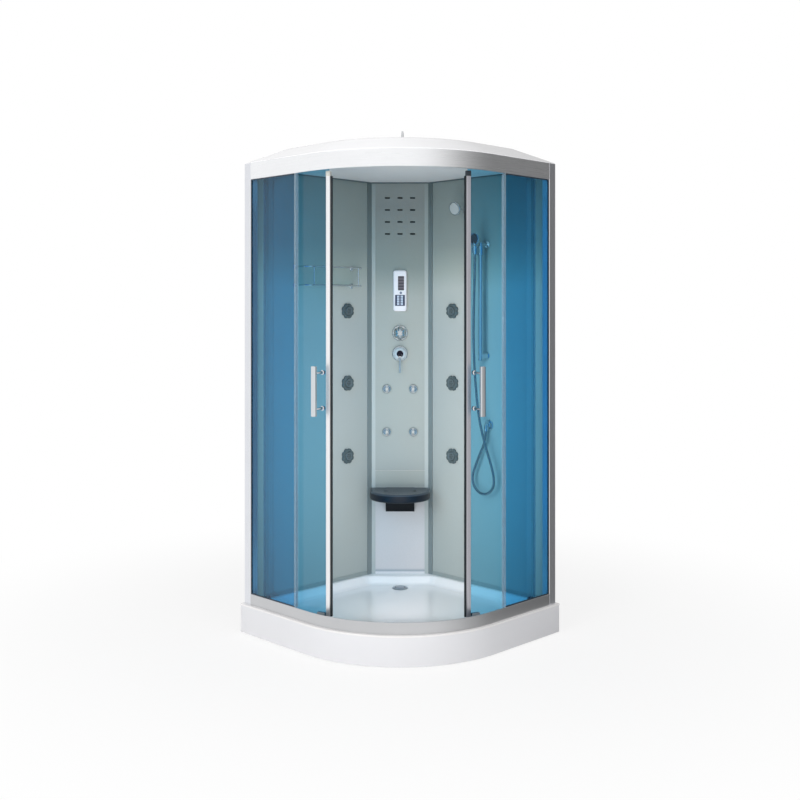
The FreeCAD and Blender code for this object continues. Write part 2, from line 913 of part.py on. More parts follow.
def top_rail():
    """Header: tall fascia, glazing slot, and a deep web that the roller tracks hang from."""
    face, top, low = FRAME_FACE, size.header_top, HEADER_BOTTOM
    slot_end = face - size.fascia - size.glazing_slot
    rib_end = slot_end - size.glazing_rib
    inner = face - size.header_depth
    web = top - size.web
    bevel = size.edge_bevel
    section = [
        (face, top),
        (inner, top),
        (inner, web - size.header_lip_height),
        (inner + size.glazing_rib, web - size.header_lip_height),
        (inner + size.glazing_rib, web),
        (rib_end, web),
        (rib_end, web - size.header_rib_height),
        (slot_end, web - size.header_rib_height),
        (slot_end, web),
        (face - size.fascia, web),
        (face - size.fascia, low),
        (face - bevel, low),
        (face, low + bevel),
    ]
    return swept_rail("top_rail", section, POST_INNER)


def wall_post():
    """Jamb profile at the front end of a wall, slotted for the fixed glass and the wall panel."""
    body = new_body("right_wall_post")
    left, right = size.frame_inset, POST_INNER
    front, back = FRAME_FACE, FRAME_FACE - size.post_depth
    bevel = size.edge_bevel
    glass_front = front - size.fascia
    glass_back = glass_front - size.glazing_slot
    panel_left = WALL_BACK - size.wall_panel_gap
    panel_right = WALL_FACE + size.wall_panel_gap
    sketch = new_sketch(body, "XY_Plane", RIM)
    outline(sketch, [
        (left, back),
        (panel_left, back),
        (panel_left, back + size.glass_bite),
        (panel_right, back + size.glass_bite),
        (panel_right, back),
        (right - bevel, back),
        (right, back + bevel),
        (right, glass_back),
        (right - size.glass_bite, glass_back),
        (right - size.glass_bite, glass_front),
        (right, glass_front),
        (right, front - bevel),
        (right - bevel, front),
        (left + bevel, front),
        (left, front - bevel),
    ])
    pad(body, sketch, size.header_top - RIM)
    return in_corner(body)


GLASS_FRONT = FRAME_FACE - size.fascia - size.glass_clearance
GLASS_BACK = GLASS_FRONT - size.glass
FIXED_GLASS_BOTTOM = RIM + size.web + size.glass_clearance
FIXED_GLASS_TOP = size.header_top - size.web - size.glass_clearance


def fixed_glass():
    """Flat toughened pane of the right leg, from the wall post to its free edge."""
    start = POST_INNER - size.glass_bite + size.glass_clearance
    height = FIXED_GLASS_TOP - FIXED_GLASS_BOTTOM
    pane = block("right_fixed_pane", size.fixed_glass_reach - start, size.glass, height)
    return in_corner(pane, start, GLASS_BACK, FIXED_GLASS_BOTTOM)


def glazing_seals():
    """Rubber gaskets round a fixed pane and the clear profile on its free edge."""
    reach, width = size.fixed_glass_reach, size.gasket_width
    front = FRAME_FACE - size.fascia - size.glass_clearance
    strips = []
    side = block("side_gasket", width, size.gasket_thickness, HEADER_BOTTOM - RAIL_TOP)
    strips.append(in_corner(side, POST_INNER, front, RAIL_TOP))
    free_edge = reach - size.edge_seal_width
    for name, low in (("top_gasket", HEADER_BOTTOM - width), ("bottom_gasket", RAIL_TOP)):
        strip = block(name, free_edge - POST_INNER - width, size.gasket_thickness, width)
        strips.append(in_corner(strip, POST_INNER + width, front, low))
    body = new_body("free_edge_seal")
    wall = size.edge_seal_wall
    sketch = new_sketch(body, "XY_Plane", RAIL_TOP)
    outline(sketch, [
        (free_edge, GLASS_BACK - wall),
        (reach + wall, GLASS_BACK - wall),
        (reach + wall, front + wall),
        (free_edge, front + wall),
        (free_edge, front),
        (reach, front),
        (reach, GLASS_BACK),
        (free_edge, GLASS_BACK),
    ])
    pad(body, sketch, HEADER_BOTTOM - RAIL_TOP)
    strips.append(in_corner(body))
    return strips


WALL_BOTTOM = RIM + size.wall_trim_height
WALL_TOP = size.ceiling_height


def wall_panel():
    """Frosted safety-glass wall panel, held by the wall post and the corner profile."""
    end = FRAME_FACE - size.post_depth + size.glass_bite - size.glass_clearance
    start = size.wall_panel_start
    height = WALL_TOP - WALL_BOTTOM + size.wall_trim_height
    pane = block("right_wall_pane", size.wall_panel, end - start, height)
    low = WALL_BOTTOM - size.wall_trim_height / 2
    return in_corner(pane, WALL_BACK, start, low)


def wall_trims():
    """Channel profiles that hold a wall panel's foot and head."""
    trims = []
    inner = WALL_FACE + size.wall_panel_gap + size.wall_trim_wall
    outer = size.frame_inset
    start = size.wall_panel_start + size.corner_leg
    length = FRAME_FACE - size.post_depth - start
    half = size.wall_trim_height / 2
    for name, low, slot_low, slot_high in (
        ("foot_trim", RIM, WALL_BOTTOM - half, WALL_BOTTOM),
        ("head_trim", WALL_TOP, WALL_TOP, WALL_TOP + half),
    ):
        body = new_body(name)
        high = low + size.wall_trim_height
        slot_left = WALL_BACK - size.wall_panel_gap
        slot_right = WALL_FACE + size.wall_panel_gap
        sketch = new_sketch(body, "XZ_Plane", -(start + length))
        if name == "foot_trim":
            corners = [
                (outer, low), (inner, low), (inner, high), (slot_right, high),
                (slot_right, slot_low), (slot_left, slot_low), (slot_left, high), (outer, high),
            ]
        else:
            corners = [
                (outer, high), (outer, low), (slot_left, low), (slot_left, slot_high),
                (slot_right, slot_high), (slot_right, low), (inner, low), (inner, high),
            ]
        outline(sketch, corners)
        pad(body, sketch, length)
        trims.append(in_corner(body))
    return trims


def corner_profile():
    """Angle profile that wraps the end of a wall panel and carries the column's edge."""
    body = new_body("right_corner_profile")
    face_sum = size.column_face * ROOT_TWO
    left, wall = size.frame_inset, size.corner_wall
    inside = WALL_FACE + size.wall_panel_gap
    start = size.wall_panel_start - size.wall_panel_gap
    proud = face_sum + size.wall_trim_wall * ROOT_TWO
    far = inside + wall
    reach = far + size.corner_leg / ROOT_TWO
    sketch = new_sketch(body, "XY_Plane", RIM)
    outline(sketch, [
        (left, start - size.corner_tail),
        (left, start),
        (inside, start),
        (inside, start + size.corner_leg),
        (far, start + size.corner_leg),
        (far, proud - far),
        (reach, proud - reach),
        (reach - size.wall_trim_wall / ROOT_TWO, face_sum - reach + size.wall_trim_wall / ROOT_TWO),
        (inside, face_sum - inside),
        (inside, start - size.corner_tail),
    ])
    pad(body, sketch, size.header_top - RIM)
    return in_corner(body)


def column_plate(name, low, high):
    """A flat board of the column; its face looks at the doors."""
    body = new_body(name)
    sketch = new_sketch(body, "XZ_Plane")
    rectangle(sketch, -size.column_half_width, low, size.column_half_width, high)
    return body, sketch


VENT_ROWS, VENT_COLUMNS = 4, 3
VALVES = (("diverter", size.diverter_height), ("mixer", size.mixer_height))
NOZZLES = [(side, height) for height in (size.nozzle_upper, size.nozzle_lower) for side in (-1, 1)]


def column_panel():
    """Upper column board, with the fan slots and the bores of the valves and nozzles, and the fan's box."""
    low, high = size.column_joint_height, size.ceiling_height
    body, sketch = column_plate("column_board", low, high)
    pad(body, sketch, size.column_panel, backwards=True)
    sketch = new_sketch(body, "XZ_Plane")
    for row in range(VENT_ROWS):
        middle_z = size.vent_top - row * size.vent_row_pitch
        for column in range(VENT_COLUMNS):
            middle_x = (column - 1) * size.vent_column_pitch
            half_x, half_z = size.vent_slot_length / 2, size.vent_slot_height / 2
            rectangle(sketch, middle_x - half_x, middle_z - half_z, middle_x + half_x, middle_z + half_z)
    for _, height in VALVES:
        circle(sketch, ZERO, height, size.valve_bore_radius)
    for side, height in NOZZLES:
        circle(sketch, side * size.nozzle_offset, height, size.nozzle_bore_radius + size.running_gap)
    pocket(body, sketch, size.column_panel + size.overrun)
    return group("column_panel", [place(body, ZERO, COLUMN_FACE_Y, ZERO), fan_box()])


def fan_box():
    """Housing of the extractor fan, glued to the back of the board round the slots."""
    body = new_body("fan_box")
    half = size.vent_column_pitch * (VENT_COLUMNS - 1) / 2 + size.vent_slot_length / 2 + size.fan_box_margin
    edge = size.vent_slot_height / 2 + size.fan_box_margin
    high = size.vent_top + edge
    low = size.vent_top - size.vent_row_pitch * (VENT_ROWS - 1) - edge
    sketch = new_sketch(body, "XZ_Plane")
    rectangle(sketch, -half, low, half, high)
    pad(body, sketch, size.fan_box_depth, backwards=True)
    wall = size.fan_box_wall
    sketch = new_sketch(body, "XZ_Plane")
    rectangle(sketch, -half + wall, low + wall, half - wall, high - wall)
    pocket(body, sketch, size.fan_box_depth - wall)
    return place(body, ZERO, COLUMN_FACE_Y + size.column_panel, ZERO)


def column_lower_panel():
    """White lower board of the column, below the joint; the seat bracket is screwed to it."""
    high = size.column_joint_height - size.column_joint_gap
    body, sketch = column_plate("column_lower_panel", RIM, high)
    pad(body, sketch, size.column_panel, backwards=True)
    return place(body, ZERO, COLUMN_FACE_Y, ZERO)


def roof_level(body, height, front_inset, wall_inset):
    sketch = new_sketch(body, "XY_Plane", height)
    quadrant(sketch, front_inset, wall_inset)
    return sketch


def loft(body, sections, cut=False):
    kind = "PartDesign::SubtractiveLoft" if cut else "PartDesign::AdditiveLoft"
    feature = body.newObject(kind, body.Name + "_loft")
    feature.Profile = sections[0]
    feature.Sections = sections[1:]
    feature.Ruled = True
    return feature


def roof():
    """Vacuum-formed roof: a thin flange on the header, slopes up to a shoulder and a flatter crown."""
    body = new_body("roof")
    base = size.header_top
    sketch = new_sketch(body, "XY_Plane", base)
    quadrant(sketch, size.frame_inset, size.frame_inset)
    pad(body, sketch, size.roof_flange)
    foot = size.frame_inset
    shoulder, crown = size.roof_shoulder_inset, size.roof_crown_inset
    run, wall = size.roof_end_run, size.roof_wall
    low = base + size.roof_flange
    shoulder_top, crown_top = low + size.roof_shoulder_height, low + size.roof_crown_height
    loft(body, [
        roof_level(body, low, foot, foot),
        roof_level(body, shoulder_top, shoulder, shoulder + run),
        roof_level(body, crown_top, crown, crown + run),
    ])
    loft(body, [
        roof_level(body, base, foot + wall * 2, foot + wall * 2),
        roof_level(body, shoulder_top - wall, shoulder + wall, shoulder + run + wall),
        roof_level(body, crown_top - wall, crown + wall, crown + run + wall),
    ], cut=True)
    return in_corner(body)


def ceiling_panel():
    """Flat inner ceiling between the header, the wall panels and the column."""
    body = new_body("ceiling_panel")
    front = size.frame_inset + size.header_depth + size.ceiling_gap
    edge = WALL_FACE + size.wall_panel_gap + size.corner_wall + size.ceiling_gap
    cut = (size.column_face + size.column_panel) * ROOT_TWO
    sketch = new_sketch(body, "XY_Plane", WALL_TOP + size.ceiling_gap)
    quadrant(sketch, front, edge, cut)
    pad(body, sketch, size.ceiling)
    return in_corner(body)


def antenna():
    """Rubber stub aerial of the controller's radio, on the front edge of the dome's crown."""
    base = size.header_top + size.roof_flange + size.roof_crown_height
    stub = turned_body("antenna", [
        (ZERO, ZERO),
        (size.antenna_radius, ZERO),
        (size.antenna_radius, size.antenna_foot_height),
        (size.antenna_neck_radius, size.antenna_neck_height),
        (size.antenna_tip_radius, size.antenna_height),
        (ZERO, size.antenna_height),
    ])
    front = ARC_MIDDLE_Y - size.tray_radius + size.antenna_inset + size.antenna_radius
    return place(stub, size.antenna_offset, front, base)


def on_column(thing, x=ZERO, z=ZERO, out=ZERO):
    """Places a thing on the column's face, x across, z up and out towards the doors."""
    return place(thing, x, COLUMN_FACE_Y - out, z)


CONTROLLER_FIELDS = (
    (size.screen_offset, size.screen_middle, size.screen_width, size.screen_height),
    (ZERO, size.keypad_middle, size.keypad_width, size.keypad_height),
)


def controller_case():
    """Moulded wall controller with rounded corners and a recess for the screen and keypad."""
    body = new_body("controller_case")
    half = size.controller_width / 2
    low = size.controller_middle - size.controller_height / 2
    high = size.controller_middle + size.controller_height / 2
    corner, step = size.controller_corner, size.controller_edge
    sketch = new_sketch(body, "XZ_Plane")
    rounded_rectangle(sketch, -half, low, half, high, corner)
    pad(body, sketch, size.controller_depth - step)
    sketch = new_sketch(body, "XZ_Plane", size.controller_depth - step)
    rounded_rectangle(sketch, -half, low, half, high, corner)
    pad(body, sketch, step, -size.basin_draft_angle)
    sketch = new_sketch(body, "XZ_Plane", size.controller_depth)
    gap = size.running_gap
    for offset, middle, width, height in CONTROLLER_FIELDS:
        half_x, half_z = width / 2 + gap, height / 2 + gap
        rectangle(sketch, offset - half_x, middle - half_z, offset + half_x, middle + half_z)
    pocket(body, sketch, size.controller_recess)
    return on_column(body)


def controller_window():
    """Screen window and membrane keypad, two inlays in the controller's face."""
    inlays = []
    out = size.controller_depth - size.controller_recess
    for number, (offset, middle, width, height) in enumerate(CONTROLLER_FIELDS):
        body = new_body(("screen", "keypad")[number])
        sketch = new_sketch(body, "XZ_Plane", out)
        rectangle(sketch, offset - width / 2, middle - height / 2, offset + width / 2, middle + height / 2)
        pad(body, sketch, size.controller_recess)
        if number == 1:
            sketch = new_sketch(body, "XZ_Plane", size.controller_depth)
            for row in range(-1, 3):
                for column in (-1, 0, 1):
                    low_x = column * size.key_pitch_x - size.key_width / 2
                    low_z = middle + (row - 1) * size.key_pitch_z + size.key_height / 2
                    rectangle(sketch, low_x, low_z, low_x + size.key_width, low_z + size.key_height)
            pad(body, sketch, size.key_rise)
        inlays.append(on_column(body))
    return group("controller_window", inlays)


def out_of_column(name, half_profile):
    """A turned piece whose axis stands out of the column: radius, then the distance out."""
    body = new_body(name)
    sketch = new_sketch(body, "XY_Plane")
    outline(sketch, [(radius, -out) for radius, out in half_profile])
    revolve(body, sketch, "V_Axis")
    return body


def valve_plates():
    """Escutcheon plates of the diverter and the mixer, each with its stem and valve body behind."""
    plates = []
    for name, height in VALVES:
        valve = out_of_column(name + "_valve", [
            (ZERO, size.valve_stem_depth),
            (size.valve_stem_radius, size.valve_stem_depth),
            (size.valve_stem_radius, size.valve_plate_depth),
            (size.valve_plate_radius - size.wide_bevel, size.valve_plate_depth),
            (size.valve_plate_radius, size.valve_plate_depth / 2),
            (size.valve_plate_radius, ZERO),
            (size.valve_bore_radius - size.running_gap, ZERO),
            (size.valve_bore_radius - size.running_gap, -size.valve_neck_length),
            (size.valve_body_radius, -size.valve_neck_length),
            (size.valve_body_radius, -size.valve_body_depth),
            (ZERO, -size.valve_body_depth),
        ])
        plates.append(on_column(valve, ZERO, height))
    return group("valve_plates", plates)


KNOB_FLUTES = 6


def diverter_knob():
    """Round selector knob with finger flutes, on the diverter's stem."""
    near = size.valve_plate_depth + size.running_gap
    far = near + size.knob_length
    bore = size.valve_stem_radius + size.running_gap
    knob = out_of_column("diverter_knob", [
        (bore, near),
        (size.knob_radius, near),
        (size.knob_radius, far - size.knob_bore_depth),
        (size.knob_radius * size.knob_face_share, far),
        (ZERO, far),
        (ZERO, size.valve_stem_depth + size.running_gap),
        (bore, size.valve_stem_depth + size.running_gap),
    ])
    sketch = new_sketch(knob, "XZ_Plane", near)
    for step in range(KNOB_FLUTES):
        angle = 2 * math.pi * (step + 0.5) / KNOB_FLUTES
        across, up = size.flute_reach * math.sin(angle), size.flute_reach * math.cos(angle)
        circle(sketch, across, up, size.flute_radius)
    pocket(knob, sketch, size.knob_length + size.overrun, backwards=True)
    return on_column(knob, ZERO, size.diverter_height)


def mixer_cap():
    """Domed mixer body that turns for temperature; a slot in it lets the lever rise."""
    near = size.valve_plate_depth + size.running_gap
    far = near + size.mixer_cap_length
    bore = size.valve_stem_radius + size.running_gap
    radius = size.mixer_cap_radius
    cap = out_of_column("mixer_cap", [
        (bore, near),
        (radius * size.cap_foot_radius_share, near),
        (radius, near + size.mixer_cap_length * size.cap_side_start_share),
        (radius, near + size.mixer_cap_length * size.cap_side_end_share),
        (radius * size.cap_shoulder_radius_share, near + size.mixer_cap_length * size.cap_shoulder_share),
        (radius * size.cap_top_radius_share, far),
        (ZERO, far),
        (ZERO, size.valve_stem_depth + size.running_gap),
        (bore, size.valve_stem_depth + size.running_gap),
    ])
    sketch = new_sketch(cap, "YZ_Plane", -size.lever_slot_width / 2)
    rectangle(sketch, -far - size.overrun, -radius - size.overrun,
              -far + size.lever_slot_depth, -size.lever_slot_start)
    pocket(cap, sketch, size.lever_slot_width, backwards=True)
    return on_column(cap, ZERO, size.mixer_height)


MIXER_AXIS_OUT = size.valve_plate_depth + size.running_gap + size.mixer_cap_length - size.lever_pin_setback
MIXER_AXIS_DROP = size.lever_hub_radius + size.lever_pin_setback


def mixer_lever():
    """Slim lever on a cross hub in the cap's slot; it hangs down and rises for flow."""
    hub_length = size.lever_slot_width - size.running_gap * 2
    hub = rod("lever_hub", size.lever_hub_radius, hub_length)
    place(hub, -hub_length / 2, ZERO, ZERO, as_size(90), (0, 1, 0))
    arm = rod("lever_arm", size.lever_radius, size.lever_length)
    place(arm, ZERO, ZERO, ZERO, 180 - size.lever_rest_angle, (1, 0, 0))
    tip = ball("lever_tip", size.lever_tip_radius)
    reach_y = -size.lever_length * sine(size.lever_rest_angle)
    reach_z = -size.lever_length * cosine(size.lever_rest_angle)
    place(tip, ZERO, reach_y, reach_z)
    lever = joined("mixer_lever", [hub, arm, tip])
    return place(lever, ZERO, COLUMN_FACE_Y - MIXER_AXIS_OUT, size.mixer_height - MIXER_AXIS_DROP)


def column_nozzles():
    """Four chromed foot and back nozzles, with their tails through the column board."""
    nozzles, dish = [], size.nozzle_depth * size.nozzle_dish_depth_share
    for number, (side, height) in enumerate(NOZZLES, start=1):
        nozzle = out_of_column(f"nozzle_{number}", [
            (ZERO, size.nozzle_tip_depth),
            (size.nozzle_tip_radius * size.nozzle_spout_share, size.nozzle_tip_depth),
            (size.nozzle_tip_radius, dish),
            (size.nozzle_radius * size.nozzle_dish_radius_share, dish),
            (size.nozzle_radius * size.nozzle_rim_radius_share, size.nozzle_depth),
            (size.nozzle_radius, size.nozzle_depth * size.nozzle_edge_depth_share),
            (size.nozzle_radius, ZERO),
            (size.nozzle_bore_radius, ZERO),
            (size.nozzle_bore_radius, -size.nozzle_tip_depth),
            (ZERO, -size.nozzle_tip_depth),
        ])
        nozzles.append(on_column(nozzle, side * size.nozzle_offset, height))
    return group("column_nozzles", nozzles)


JET_LOBES = 8
JET_HOLES = 6
JET_HEIGHTS = (("upper", size.jet_upper), ("middle", size.jet_middle), ("lower", size.jet_lower))


def out_of_wall(name, half_profile):
    """A turned piece whose axis stands out of the right wall: radius, then the distance out."""
    body = new_body(name)
    sketch = new_sketch(body, "XY_Plane")
    outline(sketch, [(out, radius) for radius, out in half_profile])
    revolve(body, sketch, "H_Axis")
    return body


def jet_socket(name):
    """Scalloped ring of a body jet, hollowed to a ball seat."""
    depth, bevel = size.jet_ring_depth, size.wide_bevel
    seat = size.jet_ball_radius + size.running_gap
    middle = size.jet_ball_height
    back_mouth = root(seat * seat - middle * middle)
    front_mouth = root(seat * seat - (depth - middle) * (depth - middle))
    body = new_body(name)
    sketch = new_sketch(body, "XY_Plane")
    outline(sketch, [
        (ZERO, back_mouth),
        (ZERO, size.jet_radius),
        (depth - bevel, size.jet_radius),
        (depth, size.jet_radius - bevel),
        (depth, front_mouth),
    ], {4: (seat, True)})
    revolve(body, sketch, "H_Axis")
    sketch = new_sketch(body, "YZ_Plane")
    for lobe in range(JET_LOBES):
        angle = 2 * math.pi * lobe / JET_LOBES
        reach = size.jet_scallop_reach
        circle(sketch, reach * math.cos(angle), reach * math.sin(angle), size.jet_scallop_radius)
    pocket(body, sketch, depth, backwards=True)
    return body


def jet_head(name):
    """Ball nozzle of a body jet, cut flat in front and behind, with a ring of spray holes."""
    body = new_body(name)
    radius, middle = size.jet_ball_radius, size.jet_ball_height
    back, front = size.jet_back_height, size.jet_face_depth
    sketch = new_sketch(body, "XY_Plane")
    outline(sketch, [
        (back, ZERO),
        (front, ZERO),
        (front, root(radius * radius - (front - middle) * (front - middle))),
        (back, root(radius * radius - (middle - back) * (middle - back))),
    ], {2: (radius, True)})
    revolve(body, sketch, "H_Axis")
    sketch = new_sketch(body, "YZ_Plane", front)
    for hole in range(JET_HOLES):
        angle = 2 * math.pi * hole / JET_HOLES
        y = size.jet_hole_circle * math.cos(angle)
        z = size.jet_hole_circle * math.sin(angle)
        circle(sketch, y, z, size.jet_hole_radius)
    pocket(body, sketch, size.jet_hole_depth)
    return body


def body_jets():
    """Three body jets on each wall: their rings share a node, their heads tilt one by one."""
    rings, heads = [], []
    for label, height in JET_HEIGHTS:
        ring = in_corner(jet_socket(f"{label}_socket"), WALL_FACE, size.jet_from_corner, height)
        head_name = f"right_{label}_jet"
        head = in_corner(jet_head(head_name), WALL_FACE, size.jet_from_corner, height)
        rings += [ring, mirrored(f"left_{label}_socket", ring)]
        heads += [head, mirrored(f"left_{label}_jet", head)]
    return group("jet_sockets", rings), heads


SEAT_AXIS_Z = size.seat_top - size.seat_axis_drop


def seat_board():
    """Half-moon folding seat with rounded rims and two hinge lugs at the back."""
    body = new_body("seat_board")
    half, reach = size.seat_width / 2, size.seat_reach
    near = -(size.seat_axis_out + size.seat_lug_half + size.seat_back_gap)
    low = size.seat_top - size.seat_thickness
    straight = -(reach - half)
    sketch = new_sketch(body, "XY_Plane", low)
    corners = [(-half, near), (-half, straight), (ZERO, straight - half), (half, straight), (half, near)]
    outline(sketch, corners,
            {1: (half, True), 2: (half, True)})
    pad(body, sketch, size.seat_thickness)
    lug_half = size.seat_lug_half
    axis_y = -size.seat_axis_out
    for side in (-1, 1):
        low_x = side * size.seat_lug_offset - size.seat_lug_width / 2
        sketch = new_sketch(body, "YZ_Plane", low_x)
        outline(sketch, [
            (near - lug_half, SEAT_AXIS_Z - lug_half),
            (axis_y, SEAT_AXIS_Z - lug_half),
            (axis_y + lug_half, SEAT_AXIS_Z),
            (axis_y, SEAT_AXIS_Z + lug_half),
            (near - lug_half, SEAT_AXIS_Z + lug_half),
        ], {1: (lug_half, True), 2: (lug_half, True)})
        pad(body, sketch, size.seat_lug_width)
    sketch = new_sketch(body, "YZ_Plane", -half)
    circle(sketch, axis_y, SEAT_AXIS_Z, size.seat_pin_radius + size.seat_pin_gap)
    pocket(body, sketch, size.seat_width, backwards=True)
    doc.recompute()
    bored = body.Tip
    rims = [f"Edge{number}" for number, edge in enumerate(bored.Shape.Edges, start=1)
            if is_seat_rim(edge)]
    fillet = body.newObject("PartDesign::Fillet", "seat_board_rims")
    fillet.Base = (bored, rims)
    bind(fillet, "Radius", size.seat_round)
    return place(body, ZERO, COLUMN_FACE_Y, ZERO)


def is_seat_rim(edge):
    """Whether an edge is part of the round rim of the seat's upper or lower face."""
    box = edge.BoundBox
    third = size.seat_width.value / 3
    return box.ZLength < size.running_gap.value and box.XLength > third and box.YLength > third


def seat_bracket():
    """Seat bracket: wall plate, two gusset arms that stop the seat, sloping apron and hinge pin."""
    half = size.bracket_width / 2
    low = SEAT_AXIS_Z + size.seat_lug_half - size.bracket_height
    stop = size.seat_top - size.seat_thickness - size.running_gap
    body = new_body("seat_bracket_plate")
    sketch = new_sketch(body, "XZ_Plane")
    rectangle(sketch, -half, low, half, SEAT_AXIS_Z + size.seat_lug_half)
    pad(body, sketch, size.bracket_plate)
    inner = half - size.bracket_plate
    for side_low in (-half, inner):
        sketch = new_sketch(body, "YZ_Plane", side_low)
        outline(sketch, [
            (ZERO, low),
            (-size.bracket_plate, low),
            (-size.bracket_reach, stop - size.bracket_lip),
            (-size.bracket_reach, stop),
            (-size.seat_axis_out - size.seat_lug_half, stop),
            (-size.seat_axis_out - size.seat_lug_half, SEAT_AXIS_Z),
            (-size.seat_axis_out + size.seat_lug_half, SEAT_AXIS_Z + size.seat_lug_half),
            (ZERO, SEAT_AXIS_Z + size.seat_lug_half),
        ])
        pad(body, sketch, size.bracket_plate)
    sketch = new_sketch(body, "YZ_Plane", -inner)
    outline(sketch, [
        (-size.bracket_plate, low),
        (-size.bracket_reach, stop - size.bracket_lip),
        (-size.bracket_reach, stop),
        (-size.bracket_reach + size.bracket_plate, stop),
        (-size.bracket_reach + size.bracket_plate, stop - size.bracket_plate),
        (-size.bracket_plate, low + size.bracket_lip),
    ])
    pad(body, sketch, inner * 2)
    place(body, ZERO, COLUMN_FACE_Y, ZERO)
    pin = rod("seat_pin", size.seat_pin_radius, size.bracket_width)
    place(pin, -half, COLUMN_FACE_Y - size.seat_axis_out, SEAT_AXIS_Z, as_size(90), (0, 1, 0))
    return joined("seat_bracket", [body, pin])


def wire_loop(name, height):
    """A round wire that leaves the wall, runs along it and returns, with two bends."""
    body = new_body(name)
    reach, bend, length = size.shelf_reach, size.shelf_bend, size.shelf_length
    path = new_sketch(body, "XY_Plane")
    corners = [
        (ZERO, ZERO), (reach - bend, ZERO), (reach, bend),
        (reach, length - bend), (reach - bend, length), (ZERO, length),
    ]
    points = [FreeCAD.Vector(x.value, y.value, 0) for x, y in corners]
    bends = {1, 3}
    for number in range(5):
        start, end = points[number], points[number + 1]
        if number in bends:
            path.addGeometry(arc_between(start, end, bend.value, True), False)
        else:
            path.addGeometry(Part.LineSegment(start, end), False)
        constrain(path, "DistanceX", -1, 1, number, 1, value=corners[number][0])
        constrain(path, "DistanceY", -1, 1, number, 1, value=corners[number][1])
        if number:
            path.addConstraint(Sketcher.Constraint("Coincident", number - 1, 2, number, 1))
        if number in bends:
            constrain(path, "Radius", number, value=bend)
    constrain(path, "DistanceX", -1, 1, 4, 2, value=corners[5][0])
    constrain(path, "DistanceY", -1, 1, 4, 2, value=corners[5][1])
    profile = new_sketch(body, "YZ_Plane")
    circle(profile, ZERO, ZERO, size.shelf_wire_radius)
    doc.recompute()
    sweep = body.newObject("PartDesign::AdditivePipe", name + "_sweep")
    sweep.Profile = profile
    sweep.Spine = (path, [f"Edge{number}" for number in range(1, 6)])
    return place(body, ZERO, ZERO, height)


def shelf():
    """Toiletry shelf on the left wall: two chromed wire rails, their wall cups and a plate."""
    pieces = [wire_loop("shelf_lower_wire", size.shelf_lower)]
    pieces.append(wire_loop("shelf_upper_wire", size.shelf_upper))
    for end, y in (("near", ZERO), ("far", size.shelf_length)):
        for level, height in (("lower", size.shelf_lower), ("upper", size.shelf_upper)):
            cup = rod(f"shelf_{end}_{level}_cup", size.shelf_cup_radius, size.shelf_cup_depth)
            pieces.append(place(cup, ZERO, y, height, as_size(90), (0, 1, 0)))
    rise = size.shelf_upper - size.shelf_lower
    for end, y in (("near", size.shelf_bend), ("far", size.shelf_length - size.shelf_bend)):
        upright = rod(f"shelf_{end}_upright", size.shelf_upright_radius, rise)
        pieces.append(place(upright, size.shelf_reach, y, size.shelf_lower))
    plate = new_body("shelf_plate")
    sketch = new_sketch(plate, "XY_Plane", size.shelf_lower - size.shelf_plate / 2)
    far, bend, length = size.shelf_reach, size.shelf_bend, size.shelf_length
    near = size.shelf_cup_depth / 2
    outline(sketch, [
        (near, ZERO), (far - bend, ZERO), (far, bend),
        (far, length - bend), (far - bend, length), (near, length),
    ], {1: (bend, True), 3: (bend, True)})
    pad(plate, sketch, size.shelf_plate)
    pieces.append(plate)
    right_hand = joined("right_hand_shelf", pieces)
    in_corner(right_hand, WALL_FACE, size.shelf_start, ZERO)
    return mirrored("shelf", right_hand)


RISER_X = WALL_FACE + size.riser_stand_off


def riser_rail():
    """Vertical slide bar on the right wall, on two round wall brackets, with end caps."""
    bar = turned_body("riser_bar", [
        (ZERO, ZERO),
        (size.riser_radius - size.edge_bevel, ZERO),
        (size.riser_radius, size.edge_bevel),
        (size.riser_radius, size.riser_top - size.riser_bottom - size.edge_bevel),
        (size.riser_radius - size.edge_bevel, size.riser_top - size.riser_bottom),
        (ZERO, size.riser_top - size.riser_bottom),
    ])
    place(bar, size.riser_stand_off, ZERO, size.riser_bottom)
    pieces = [bar]
    low = size.riser_bottom + size.riser_bracket_inset
    high = size.riser_top - size.edge_bevel - size.riser_bracket_radius / 2
    brackets = (("lower", low, size.riser_bracket_radius), ("upper", high, size.riser_upper_arm_radius))
    for label, height, arm_radius in brackets:
        arm = rod(f"riser_{label}_arm", arm_radius, size.riser_stand_off)
        pieces.append(place(arm, ZERO, ZERO, height, as_size(90), (0, 1, 0)))
        rose = rod(f"riser_{label}_rose", size.riser_rose_radius, size.riser_rose_depth)
        pieces.append(place(rose, ZERO, ZERO, height, as_size(90), (0, 1, 0)))
    return in_corner(joined("riser_rail", pieces), WALL_FACE, size.riser_from_corner, ZERO)


HANDSET_X = RISER_X + size.handset_offset


